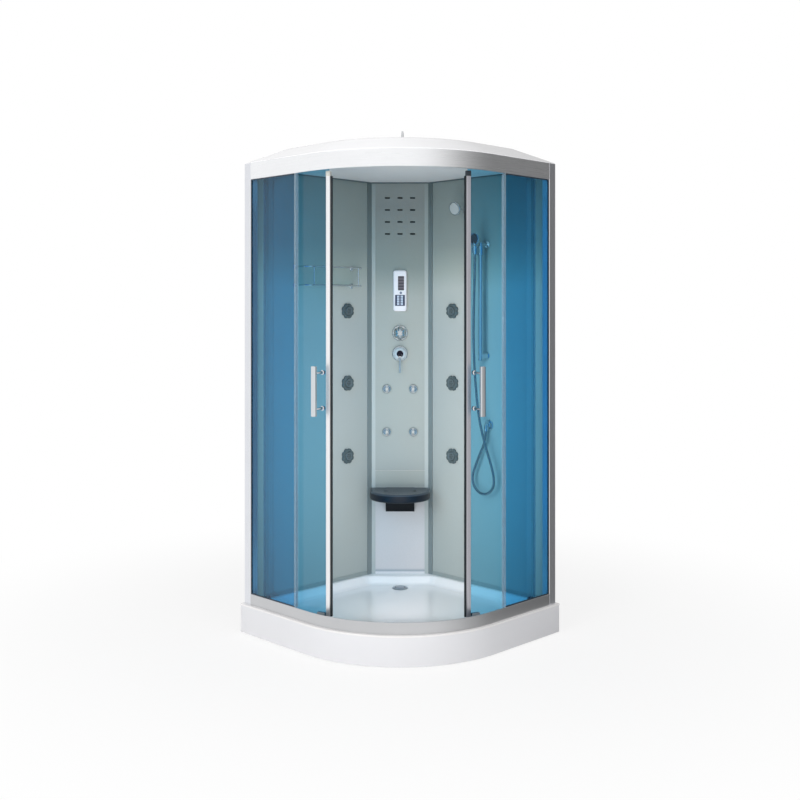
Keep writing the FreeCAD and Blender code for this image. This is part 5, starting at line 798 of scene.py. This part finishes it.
for row in range(KEY_ROWS):
    for column, key_tone in enumerate((pale, grey, pale)):
        at = on_column((column - 1) * KEY_STEP_ACROSS, LOWEST_KEY + row * KEY_STEP_UP,
                       depth + 0.0005)
        rounded_plate(f"controller_key_{row}_{column}", at, (0.0085, 0.0105), 0.002, [
            (0, 0), (0, 0.0012), (0.0008, 0.0018)], key_tone)
turned("controller_power_key", [
    (0, 0), (0.0062, 0), (0.0062, 0.0014), (0.0046, 0.0014), (0.004, 0.0008),
    (0, 0.001)], 0.0004, on_column(*POWER_KEY_PLACE, depth), grey, "silver_plastic",
    segments=32)

# Valves
# Chromed escutcheons over brass bodies, with a lobed diverter knob above and a domed mixer with a
# cap whose dark centre is a painted reflection, and a hanging lever below.
DIVERTER_LEVEL, MIXER_LEVEL, DARK_REFLECTION_RADIUS = 1.313, 1.212, 0.0165

plated = chrome_material("valve_chrome", base=(200, 204, 206), roughness=0.24)
brass = moulded_material("brass", (176, 142, 86), roughness=0.4, scale=180.0)
for name, height in (("diverter", DIVERTER_LEVEL), ("mixer", MIXER_LEVEL)):
    turned(f"{name}_plate", [
        (0, 0), (0.039, 0), (0.039, 0.003), (0.036, 0.0066), (0.022, 0.007),
        (0.009, 0.007), (0.009, 0.016), (0, 0.016)], 0.0012, on_column(0, height), plated,
        "chrome", ["valve_plates"])
    turned(f"{name}_valve_body", [
        (0, -0.004), (0.0156, -0.004), (0.0156, -0.008), (0.024, -0.008), (0.024, -0.046),
        (0, -0.046)], 0.001, on_column(0, height), brass, "brass")
turned("diverter", [
    (0, 0.0165), (0.0095, 0.0165), (0.0095, 0.0074), (0.033, 0.0074), (0.0335, 0.020),
    (0.030, 0.027), (0.024, 0.0325), (0.016, 0.036), (0.008, 0.0372), (0, 0.0374)], 0.0022,
    on_column(0, DIVERTER_LEVEL), plated, "chrome", ["diverter_knob"], "diverter_knob",
    segments=96, lobes=6, lobe_depth=0.0045, lobed_from=0.012)
satin = moulded_material("satin_chrome", (196, 202, 205), roughness=0.2, spread=8, gloss=0.9)
# The cap's centre takes a near-black chrome: a painted dark reflection.
dress_by_place("mixer_cap",
               lambda at: int(math.hypot(at.x, at.z - MIXER_LEVEL) < DARK_REFLECTION_RADIUS),
               satin, chrome_material("cap_dark_reflection", base=(38, 38, 50), roughness=0.12))
dress(chrome, "mixer_lever")
dress(brass, "supply_pipes")

# Nozzles on the column
# Chrome-plated plastic buttons, each with a raised centre jet, pushed into holes of the board in
# two rows and held by nuts behind it.
NOZZLE_LEVELS, NOZZLE_ACROSS = (1.038, 0.827), 0.065

plated = chrome_material("plated_nozzle", base=(206, 211, 214), roughness=0.12)
for label, x in (("left", -NOZZLE_ACROSS), ("right", NOZZLE_ACROSS)):
    for height in NOZZLE_LEVELS:
        turned(f"nozzle_{label}_{round(height * 1000)}", [
            (0, -0.015), (0.008, -0.015), (0.008, 0), (0.023, 0), (0.023, 0.0036),
            (0.0185, 0.009), (0.016, 0.0085), (0.0125, 0.0055), (0.0098, 0.006),
            (0.008, 0.0145), (0, 0.015)], 0.0008, on_column(x, height), plated,
            "chromed_plastic", ["column_nozzles"])

# Body jets
# Dark scalloped plastic rings, screwed through the walls, each round a ball nozzle that tilts and
# has a ring of soft rubber spray tips.
JET_LEVELS = {"upper": 1.421, "middle": 1.074, "lower": 0.723}
JET_TIPS = [(0.0095 * math.cos(turn), 0.0095 * math.sin(turn))
            for turn in (math.pi / 3 * number for number in range(6))] + [(0, 0)]
WALL_FACE, JET_FROM_CORNER = 0.0225, 0.3825


def on_wall(side, from_corner, height, out=0.0):
    """A frame on a wall's inner face: z out into the cabin and y up. side is 1 right, -1 left."""
    origin = corner_point(WALL_FACE + out, from_corner, height, side)
    return facing_frame(origin, Vector((-side * HALF_ROOT, -HALF_ROOT, 0)))


ring_plastic = moulded_material("jet_ring", (84, 96, 99), roughness=0.25)
head_plastic = moulded_material("jet_head", (96, 108, 112), roughness=0.22)
for side, label in ((1, "right"), (-1, "left")):
    for level, height in JET_LEVELS.items():
        at, jet = on_wall(side, JET_FROM_CORNER, height), f"{label}_{level}_jet"
        turned(f"{jet}_ring", [
            (0.0199, 0), (0.037, 0), (0.037, 0.008), (0.0345, 0.012), (0.030, 0.013),
            (0.0225, 0.0128), (0.0214, 0.0115), (0.0212, 0.005), (0.0199, 0)], 0.0012, at,
            ring_plastic, "dark_plastic", ["jet_sockets"],
            segments=96, lobes=8, lobe_depth=0.0048, lobed_from=0.029)
        turned(f"{jet}_nozzle", [
            (0, 0.0046), (0.0206, 0.0046), (0.021, 0.008), (0.0203, 0.0134), (0.019, 0.017),
            (0.0165, 0.0166), (0.015, 0.0150), (0, 0.0150)], 0.0007, at, head_plastic,
            "chromed_plastic", [jet], jet)
        for number, (x, y) in enumerate(JET_TIPS):
            turned(f"{jet}_tip_{number}", [
                (0, -0.001), (0.0026, -0.001), (0.0022, 0.0016), (0.0012, 0.0018),
                (0.0011, 0.0006), (0, 0.0006)], 0.0003,
                at @ Matrix.Translation((x, y, 0.015)), black_rubber, "black_rubber",
                body=jet, segments=20)

# Seat
# Dark moulded half-moon seat, softly crowned with a rolled rim, that folds up on two lugs of a
# painted steel bracket. Its crown takes a lighter copy of the plastic and its sides and lugs a
# darker
# one: painted light and painted shade.
SEAT_BACK, HINGE_DEPTH, HINGE_LEVEL, LUG_ROUND = 0.041, 0.026, 0.542, 0.012

low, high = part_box("seat_board")
# Darker sides and lugs and a lighter crown: painted shade and painted light on one plastic.
edge = moulded_material("seat_shaded_plastic", (20, 29, 40), roughness=0.4, scale=300.0, gloss=0.35)
top = moulded_material("seat_top", (58, 68, 79), roughness=0.36, scale=300.0, gloss=0.45)
half, back = (high.x - low.x) / 2, COLUMN_FACE - SEAT_BACK


def seat_ring(inset, height):
    """The half-moon outline drawn in by an inset."""
    radius = half - inset
    points = [(-radius, back - inset), *arc(0, low.y + half, radius, 180, 360, 48),
              (radius, back - inset)]
    return [Vector((x, y, height)) for x, y in points]


profile = [
    (0.012, low.z), (0.005, low.z + 0.001), (0.0015, low.z + 0.004), (0, low.z + 0.009),
    (0, high.z - 0.013), (0.0015, high.z - 0.007), (0.005, high.z - 0.0025),
    (0.010, high.z - 0.0005), (0.016, high.z), (0.024, high.z - 0.0012),
    (0.034, high.z - 0.003), (0.07, high.z - 0.005), (0.12, high.z - 0.0055),
]
seat = ring_skin("seat", [seat_ring(inset, height) for inset, height in profile], edge)
seat.data.materials.append(top)
# Faces near the top take the lighter copy: painted light.
for face in seat.data.polygons:
    face.material_index = int(face.center.z > high.z - 0.006)
adopt(seat, ["seat_board"], "seat_board")
for label, side in (("left", -1), ("right", 1)):
    start = back + 0.002
    lug = [(start, HINGE_LEVEL - LUG_ROUND),
           *arc(COLUMN_FACE - HINGE_DEPTH, HINGE_LEVEL, LUG_ROUND, -90, 90, 16),
           (start, HINGE_LEVEL + LUG_ROUND)]
    rings = [[Vector((side * x, y, z)) for y, z in lug] for x in (0.031, 0.049)]
    adopt(ring_skin(f"seat_lug_{label}", rings, edge), body="seat_board")
dress(moulded_material("bracket_paint", (4, 9, 16), roughness=0.55, spread=2, gloss=0.1),
      "seat_bracket")

# Shelf
# Two bent rails of chromed wire on wall cups, joined by two posts, with a clear glass plate on the
# lower one. It hangs on the left wall.
SHELF_FROM, SHELF_LENGTH, SHELF_REACH, SHELF_BEND = 0.356, 0.350, 0.092, 0.038
SHELF_LOWER, SHELF_UPPER, SHELF_PLATE = 1.540, 1.625, 0.005


def wire(name, points, radius, material_made, replaced=()):
    """A round wire along points."""
    line = bpy.data.curves.new(name, "CURVE")
    line.dimensions = "3D"
    line.bevel_depth = radius
    line.bevel_resolution = 5
    line.use_fill_caps = True
    spline = line.splines.new("POLY")
    spline.points.add(len(points) - 1)
    for control, point in zip(spline.points, points):
        control.co = (*point, 1)
    line.materials.append(material_made)
    adopt(add_object(name, line), replaced)


def loop(height, inset=0.0):
    """The rail's line: out of the wall, along it and back, with two bends."""
    bent, across = SHELF_BEND - inset, SHELF_REACH - SHELF_BEND
    points = [(0, inset), *arc(across, SHELF_BEND, bent, -90, 0, 12),
              *arc(across, SHELF_LENGTH - SHELF_BEND, bent, 0, 90, 12),
              (0, SHELF_LENGTH - inset)]
    return [corner_point(WALL_FACE + x, SHELF_FROM + y, height, -1) for x, y in points]


for level, height in (("lower", SHELF_LOWER), ("upper", SHELF_UPPER)):
    wire(f"shelf_{level}_rail", loop(height), 0.004, chrome, ["shelf"])
    for end, along in (("near", 0), ("far", SHELF_LENGTH)):
        turned(f"shelf_{level}_{end}_cup", [
            (0, 0), (0.013, 0), (0.013, 0.004), (0.009, 0.007), (0.0055, 0.008),
            (0, 0.008)], 0.001, on_wall(-1, SHELF_FROM + along, height), chrome, "chrome")
for end, along in (("near", SHELF_BEND), ("far", SHELF_LENGTH - SHELF_BEND)):
    ends = [corner_point(WALL_FACE + SHELF_REACH, SHELF_FROM + along, height, -1)
            for height in (SHELF_UPPER, SHELF_LOWER)]
    wire(f"shelf_{end}_post", ends, 0.0032, chrome)
rings = [loop(SHELF_LOWER + side * SHELF_PLATE / 2, 0.004) for side in (-1, 1)]
clear = sheet_glass_material("shelf_glass", (226, 240, 238), 1.45, 12.0, (0.02, 0.06))
adopt(ring_skin("shelf_plate", rings, clear))

# Ceiling bead
# Grey silicone, run by hand and smoothed in the corner under the ceiling, along both walls and
# the column's face.
BEAD, BEAD_LEVEL, BEAD_FRONT, BEAD_TURN = 0.0042, 2.0515, 0.858, 0.224

silicone = moulded_material("silicone", (92, 104, 106), roughness=0.45, scale=120.0)
edge = WALL_FACE + 0.0045
line = [corner_point(edge, BEAD_FRONT, BEAD_LEVEL), corner_point(edge, BEAD_TURN, BEAD_LEVEL)]
line.append(Vector((line[1].x - 0.004, COLUMN_FACE - 0.0055, BEAD_LEVEL)))
line += [Vector((-point.x, point.y, point.z)) for point in reversed(line)]
wire("ceiling_bead", line, BEAD, silicone)

# Slide bar
# Chromed tube on two round brackets, a stout lower one and a thin upper one, screwed to the right
# wall. The handset's slider clamps on it.
RISER_OUT, RISER_FROM_CORNER, RISER_FOOT, RISER_LENGTH = 0.048, 0.5987, 1.190, 0.55

foot = corner_point(WALL_FACE + RISER_OUT, RISER_FROM_CORNER, RISER_FOOT)
turned("slide_bar", [(0, 0), (0.010, 0), (0.010, RISER_LENGTH), (0, RISER_LENGTH)],
       0.003, Matrix.Translation(foot), chrome, "chrome", ["riser_rail"], segments=40)
for label, height, radius in (("lower", 1.212, 0.012), ("upper", 1.732, 0.0054)):
    turned(f"slide_bar_{label}_bracket", [
        (0, 0), (0.0168, 0), (0.0168, 0.004), (radius, 0.009), (radius, RISER_OUT),
        (0, RISER_OUT)], 0.002, on_wall(1, RISER_FROM_CORNER, height), chrome, "chrome",
        segments=40)

# Handset
# Plated hand shower on the slide bar's moulded slider: a turned foot with the hose nut, and a
# small round head with a dark spray face that looks slightly down.
HANDSET_OUT, HANDSET_FOOT, HANDSET_HEAD, HANDSET_DOWN = RISER_OUT + 0.040, 1.682, 1.753, 2


def facing_down(degrees):
    """The direction out of the right wall, tipped down."""
    down = math.radians(degrees)
    return Vector((-HALF_ROOT * math.cos(down), -HALF_ROOT * math.cos(down), -math.sin(down)))


plated = chrome_material("plated_plastic", base=(200, 206, 212), roughness=0.14)
dress(plated, "handset_slider")
foot = corner_point(WALL_FACE + HANDSET_OUT, RISER_FROM_CORNER, HANDSET_FOOT)
turned("handset_handle", [
    (0, 0), (0.0095, 0), (0.0095, 0.016), (0.010, 0.0165), (0.010, 0.029),
    (0.012, 0.0295), (0.012, 0.0353), (0.0098, 0.042), (0.0092, 0.060), (0, 0.062)], 0.0015,
    Matrix.Translation(foot), chrome, "chromed_plastic", ["handset"], "handset", segments=40)
middle = corner_point(WALL_FACE + HANDSET_OUT + 0.0068, RISER_FROM_CORNER, HANDSET_HEAD)
at = facing_frame(middle, facing_down(HANDSET_DOWN))
turned("handset_head", [
    (0, -0.017), (0.012, -0.0165), (0.022, -0.012), (0.0275, -0.005), (0.029, -0.001),
    (0.0285, 0.0015), (0.0245, 0.002), (0.0235, 0.0008), (0, 0.0015)], 0.001, at, plated,
    "chromed_plastic", body="handset")
turned("handset_face", [(0, 0.001), (0.0228, 0.001), (0.0222, 0.0026), (0, 0.0034)],
       0.0006, at, dark_plastic, "dark_plastic", body="handset", segments=48)

# Hose elbow
# Chromed wall rose and bent brass pipe on the right wall, with the faceted nut that takes the
# hose's lower end.
ELBOW_LEVEL, ELBOW_FROM_CORNER, ELBOW_OUT, ELBOW_BEND = 0.890, 0.611, 0.0255, 0.010
ELBOW_NUT_FOOT = 0.8592

turned("elbow_rose", [
    (0, 0), (0.025, 0), (0.025, 0.003), (0.022, 0.006), (0.011, 0.0075), (0.009, 0.010),
    (0.009, 0.018), (0, 0.018)], 0.0012, on_wall(1, ELBOW_FROM_CORNER, ELBOW_LEVEL), chrome,
    "chrome", ["hose_elbow"])
line = [(0.006, 0), *arc(ELBOW_OUT - ELBOW_BEND, -ELBOW_BEND, ELBOW_BEND, 90, 0, 12),
        (ELBOW_OUT, -0.016)]
wire("elbow_pipe", [corner_point(WALL_FACE + x, ELBOW_FROM_CORNER, ELBOW_LEVEL + z)
                    for x, z in line], 0.009, chrome)
nut_foot = corner_point(WALL_FACE + ELBOW_OUT, ELBOW_FROM_CORNER, ELBOW_NUT_FOOT)
turned("elbow_nut", [
    (0, 0), (0.0085, 0), (0.0095, 0.002), (0.0095, 0.013), (0.009, 0.016),
    (0, 0.016)], 0.0008, Matrix.Translation(nut_foot), chrome, "chrome",
    segments=12, sharp_angle=20)

# Overhead spray
# Short chromed pipe from a wall rose, with a ball joint at its end and a round spray head that
# looks down into the cabin and has a pale face.
ARM_LEVEL, ARM_FROM_CORNER, ARM_REACH, ARM_RISE = 1.896, 0.469, 0.062, 0.012
BALL_RADIUS, OVERHEAD_DOWN = 0.012, 15

turned("overhead_rose", [
    (0, 0), (0.022, 0), (0.022, 0.003), (0.018, 0.006), (0.008, 0.0075),
    (0, 0.0075)], 0.001, on_wall(1, ARM_FROM_CORNER, ARM_LEVEL), chrome, "chrome",
    ["overhead_arm"])
line = [corner_point(WALL_FACE + share * ARM_REACH, ARM_FROM_CORNER,
                     ARM_LEVEL + ARM_RISE * share ** 1.4)
        for share in (0, 0.2, 0.4, 0.6, 0.8, 1.0)]
wire("overhead_arm_pipe", line, 0.006, chrome)
pivot = line[-1]
ball = [(0, -BALL_RADIUS), *arc(0, 0, BALL_RADIUS, -90, 90, 20)[1:-1], (0, BALL_RADIUS)]
adopt(lathe("overhead_ball", ball, Matrix.Translation(pivot), chrome, segments=40))
at = facing_frame(pivot, facing_down(OVERHEAD_DOWN))
turned("overhead_head", [
    (0.0118, -0.0043), (0.016, -0.0043), (0.0165, 0.008), (0.020, 0.013), (0.030, 0.0165),
    (0.033, 0.019), (0.033, 0.0225), (0.0315, 0.0248), (0.0285, 0.025), (0.0280, 0.0242),
    (0, 0.0245)], 0.001, at,
    chrome_material("overhead_chrome", base=(196, 202, 204), roughness=0.16),
    "chromed_plastic", ["overhead_head"], "overhead_head")
turned("overhead_face", [(0, 0.0244), (0.0275, 0.0244), (0.0268, 0.0256), (0, 0.0262)],
       0.0005, at, moulded_material("spray_face", (178, 184, 184), roughness=0.3),
       "dark_plastic", body="overhead_head")

# Roof
# Vacuum-formed white roof: a thin rolled rim on the header, and slopes up to a soft shoulder and
# a flatter crown.
ROOF_SHEET, ROOF_CHAMFER = 0.004, 0.012

low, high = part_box("roof")
base, top, shoulder = low.z, high.z, high.z - 0.008
profile = [
    (0.188, 0.237, top, 0.03), (0.178, 0.227, top - 0.0002, 0.03),
    (0.168, 0.217, top - 0.001, 0.03), (0.130, 0.179, shoulder + 0.0055, 0.02),
    (0.119, 0.168, shoulder + 0.0034, 0.02), (0.112, 0.160, shoulder - 0.0004, 0.02),
    (0.104, 0.149, shoulder - 0.0046, 0.018), (0.060, 0.083, shoulder - 0.0288, 0.012),
    (0.0225, 0.0268, base + 0.0075, 0.006), (0.0175, 0.0192, base + 0.0048, 0.005),
    (0.0150, 0.0156, base + 0.0030, 0.004), (0.0142, 0.0142, base + 0.0016, 0.004),
    (0.0142, 0.0142, base + 0.0004, 0.004), (0.0150, 0.0150, base, 0.004),
    (0.024, 0.026, base, 0.006), (0.064, 0.087, shoulder - 0.0288 - ROOF_SHEET, 0.012),
    (0.116, 0.164, shoulder - ROOF_SHEET, 0.02), (0.180, 0.229, top - ROOF_SHEET, 0.03),
]
rings = [quadrant_ring(*place, ROOF_CHAMFER) for place in profile]
white = acrylic_material("roof_acrylic", (252, 252, 254))
adopt(ring_skin("roof_shell", rings, white), ["roof"])

# Aerial
# The controller's short moulded aerial, on a flanged foot that is screwed to the front of the
# roof's crown.

low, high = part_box("antenna")
middle, tall = (low + high) / 2, high.z - low.z
turned("aerial", [
    (0, 0), (0.009, 0), (0.009, 0.004), (0.0065, 0.0068), (0.0055, 0.009),
    (0.0042, tall - 0.001), (0.0030, tall), (0, tall)], 0.001,
    Matrix.Translation((middle.x, middle.y, low.z)),
    moulded_material("aerial_rubber", (196, 198, 200)), "black_rubber", ["antenna"],
    segments=32)

# Door handles
# Chromed bars of a squarish oval section with soft ends, each on two turned posts that are bolted
# through the glass between round roses on both of its faces.
PANE_RADIUS, HANDLE_TURN, HALF_GLASS = 0.587, 4.49, 0.003
PANE_CENTRES = {"right": (0.0516, 0.1138, 21.3), "left": (-0.0539, 0.1171, 22.5)}
BAR_HALF_WIDTH, BAR_HALF_DEPTH, BAR_HALF_LENGTH, BAR_LEVEL = 0.0115, 0.0075, 0.103, 1.092
BAR_OUT, BAR_SQUARENESS, BAR_STEPS = 0.070, 0.45, 48
BAR_ENDS = ((-1, 0.80), (-0.993, 0.93), (-0.978, 1.0), (0.978, 1.0), (0.993, 0.93), (1, 0.80))
POST_LEVELS, POST, ROSE = (1.018, 1.166), 0.0055, 0.010


def squarish(value):
    return math.copysign(abs(value) ** BAR_SQUARENESS, value)


outline = [(BAR_HALF_WIDTH * squarish(math.cos(turn)), BAR_HALF_DEPTH * squarish(math.sin(turn)))
           for turn in (2 * math.pi * step / BAR_STEPS for step in range(BAR_STEPS))]
face = HALF_GLASS + 0.0004
for (label, (x, y, rest_angle)), side in zip(PANE_CENTRES.items(), (1, -1)):
    angle = math.radians(rest_angle - 90 + HANDLE_TURN)
    outward = Vector((side * math.cos(angle), math.sin(angle), 0))
    on_pane = Vector((x, y, 0)) + outward * PANE_RADIUS
    along = Vector((-outward.y, outward.x, 0))
    rings = [[on_pane + along * (across * scale) + outward * (BAR_OUT + out * scale)
              + Vector((0, 0, BAR_LEVEL + share * BAR_HALF_LENGTH))
              for across, out in outline] for share, scale in BAR_ENDS]
    adopt(ring_skin(f"{label}_handle_bar", rings, chrome),
          [f"{label}_door_handle"], f"{label}_door")
    for number, height in enumerate(POST_LEVELS, start=1):
        at = facing_frame(on_pane + Vector((0, 0, height)), outward)
        turned(f"{label}_handle_post_{number}", [
            (0, face), (ROSE, face), (ROSE, face + 0.002), (POST + 0.001, face + 0.004),
            (POST, face + 0.006), (POST * 0.9, BAR_OUT * 0.6), (POST, BAR_OUT - 0.004),
            (0, BAR_OUT - 0.004)], 0.0008, at, chrome, "chrome", body=f"{label}_door",
            segments=40)
        turned(f"{label}_handle_rose_{number}", [
            (0, -face), (ROSE, -face), (ROSE, -face - 0.002), (ROSE - 0.002, -face - 0.0038),
            (0, -face - 0.0042)], 0.0008, at, chrome, "chrome", body=f"{label}_door",
            segments=40)

# Under the tray
# Welded frame of galvanised square tube on threaded feet, the grey plastic trap on the waste, and
# the steel screws that hold the enclosure's posts and walls.


def galvanised_material():
    """Hot-dip zinc: angular pale and dark spangle."""
    made, tree = new_material("galvanised")
    spangle = shader_node(tree, "TexVoronoi", {
        "Vector": object_place(tree), "Scale": 90.0}).outputs["Distance"]
    return finish_material(made, "BsdfPrincipled", {
        "Base Color": blend_colours(tree, spangle, colour(132, 138, 143), colour(178, 184, 188)),
        "Metallic": 0.85, "Roughness": 0.42})


dress(galvanised_material(), "tray_frame", "tray_feet")
dress(moulded_material("trap_pvc", (142, 147, 151), roughness=0.45), "waste_trap")
dress(chrome_material("screw_steel", base=(150, 154, 158), roughness=0.3), "frame_screws")
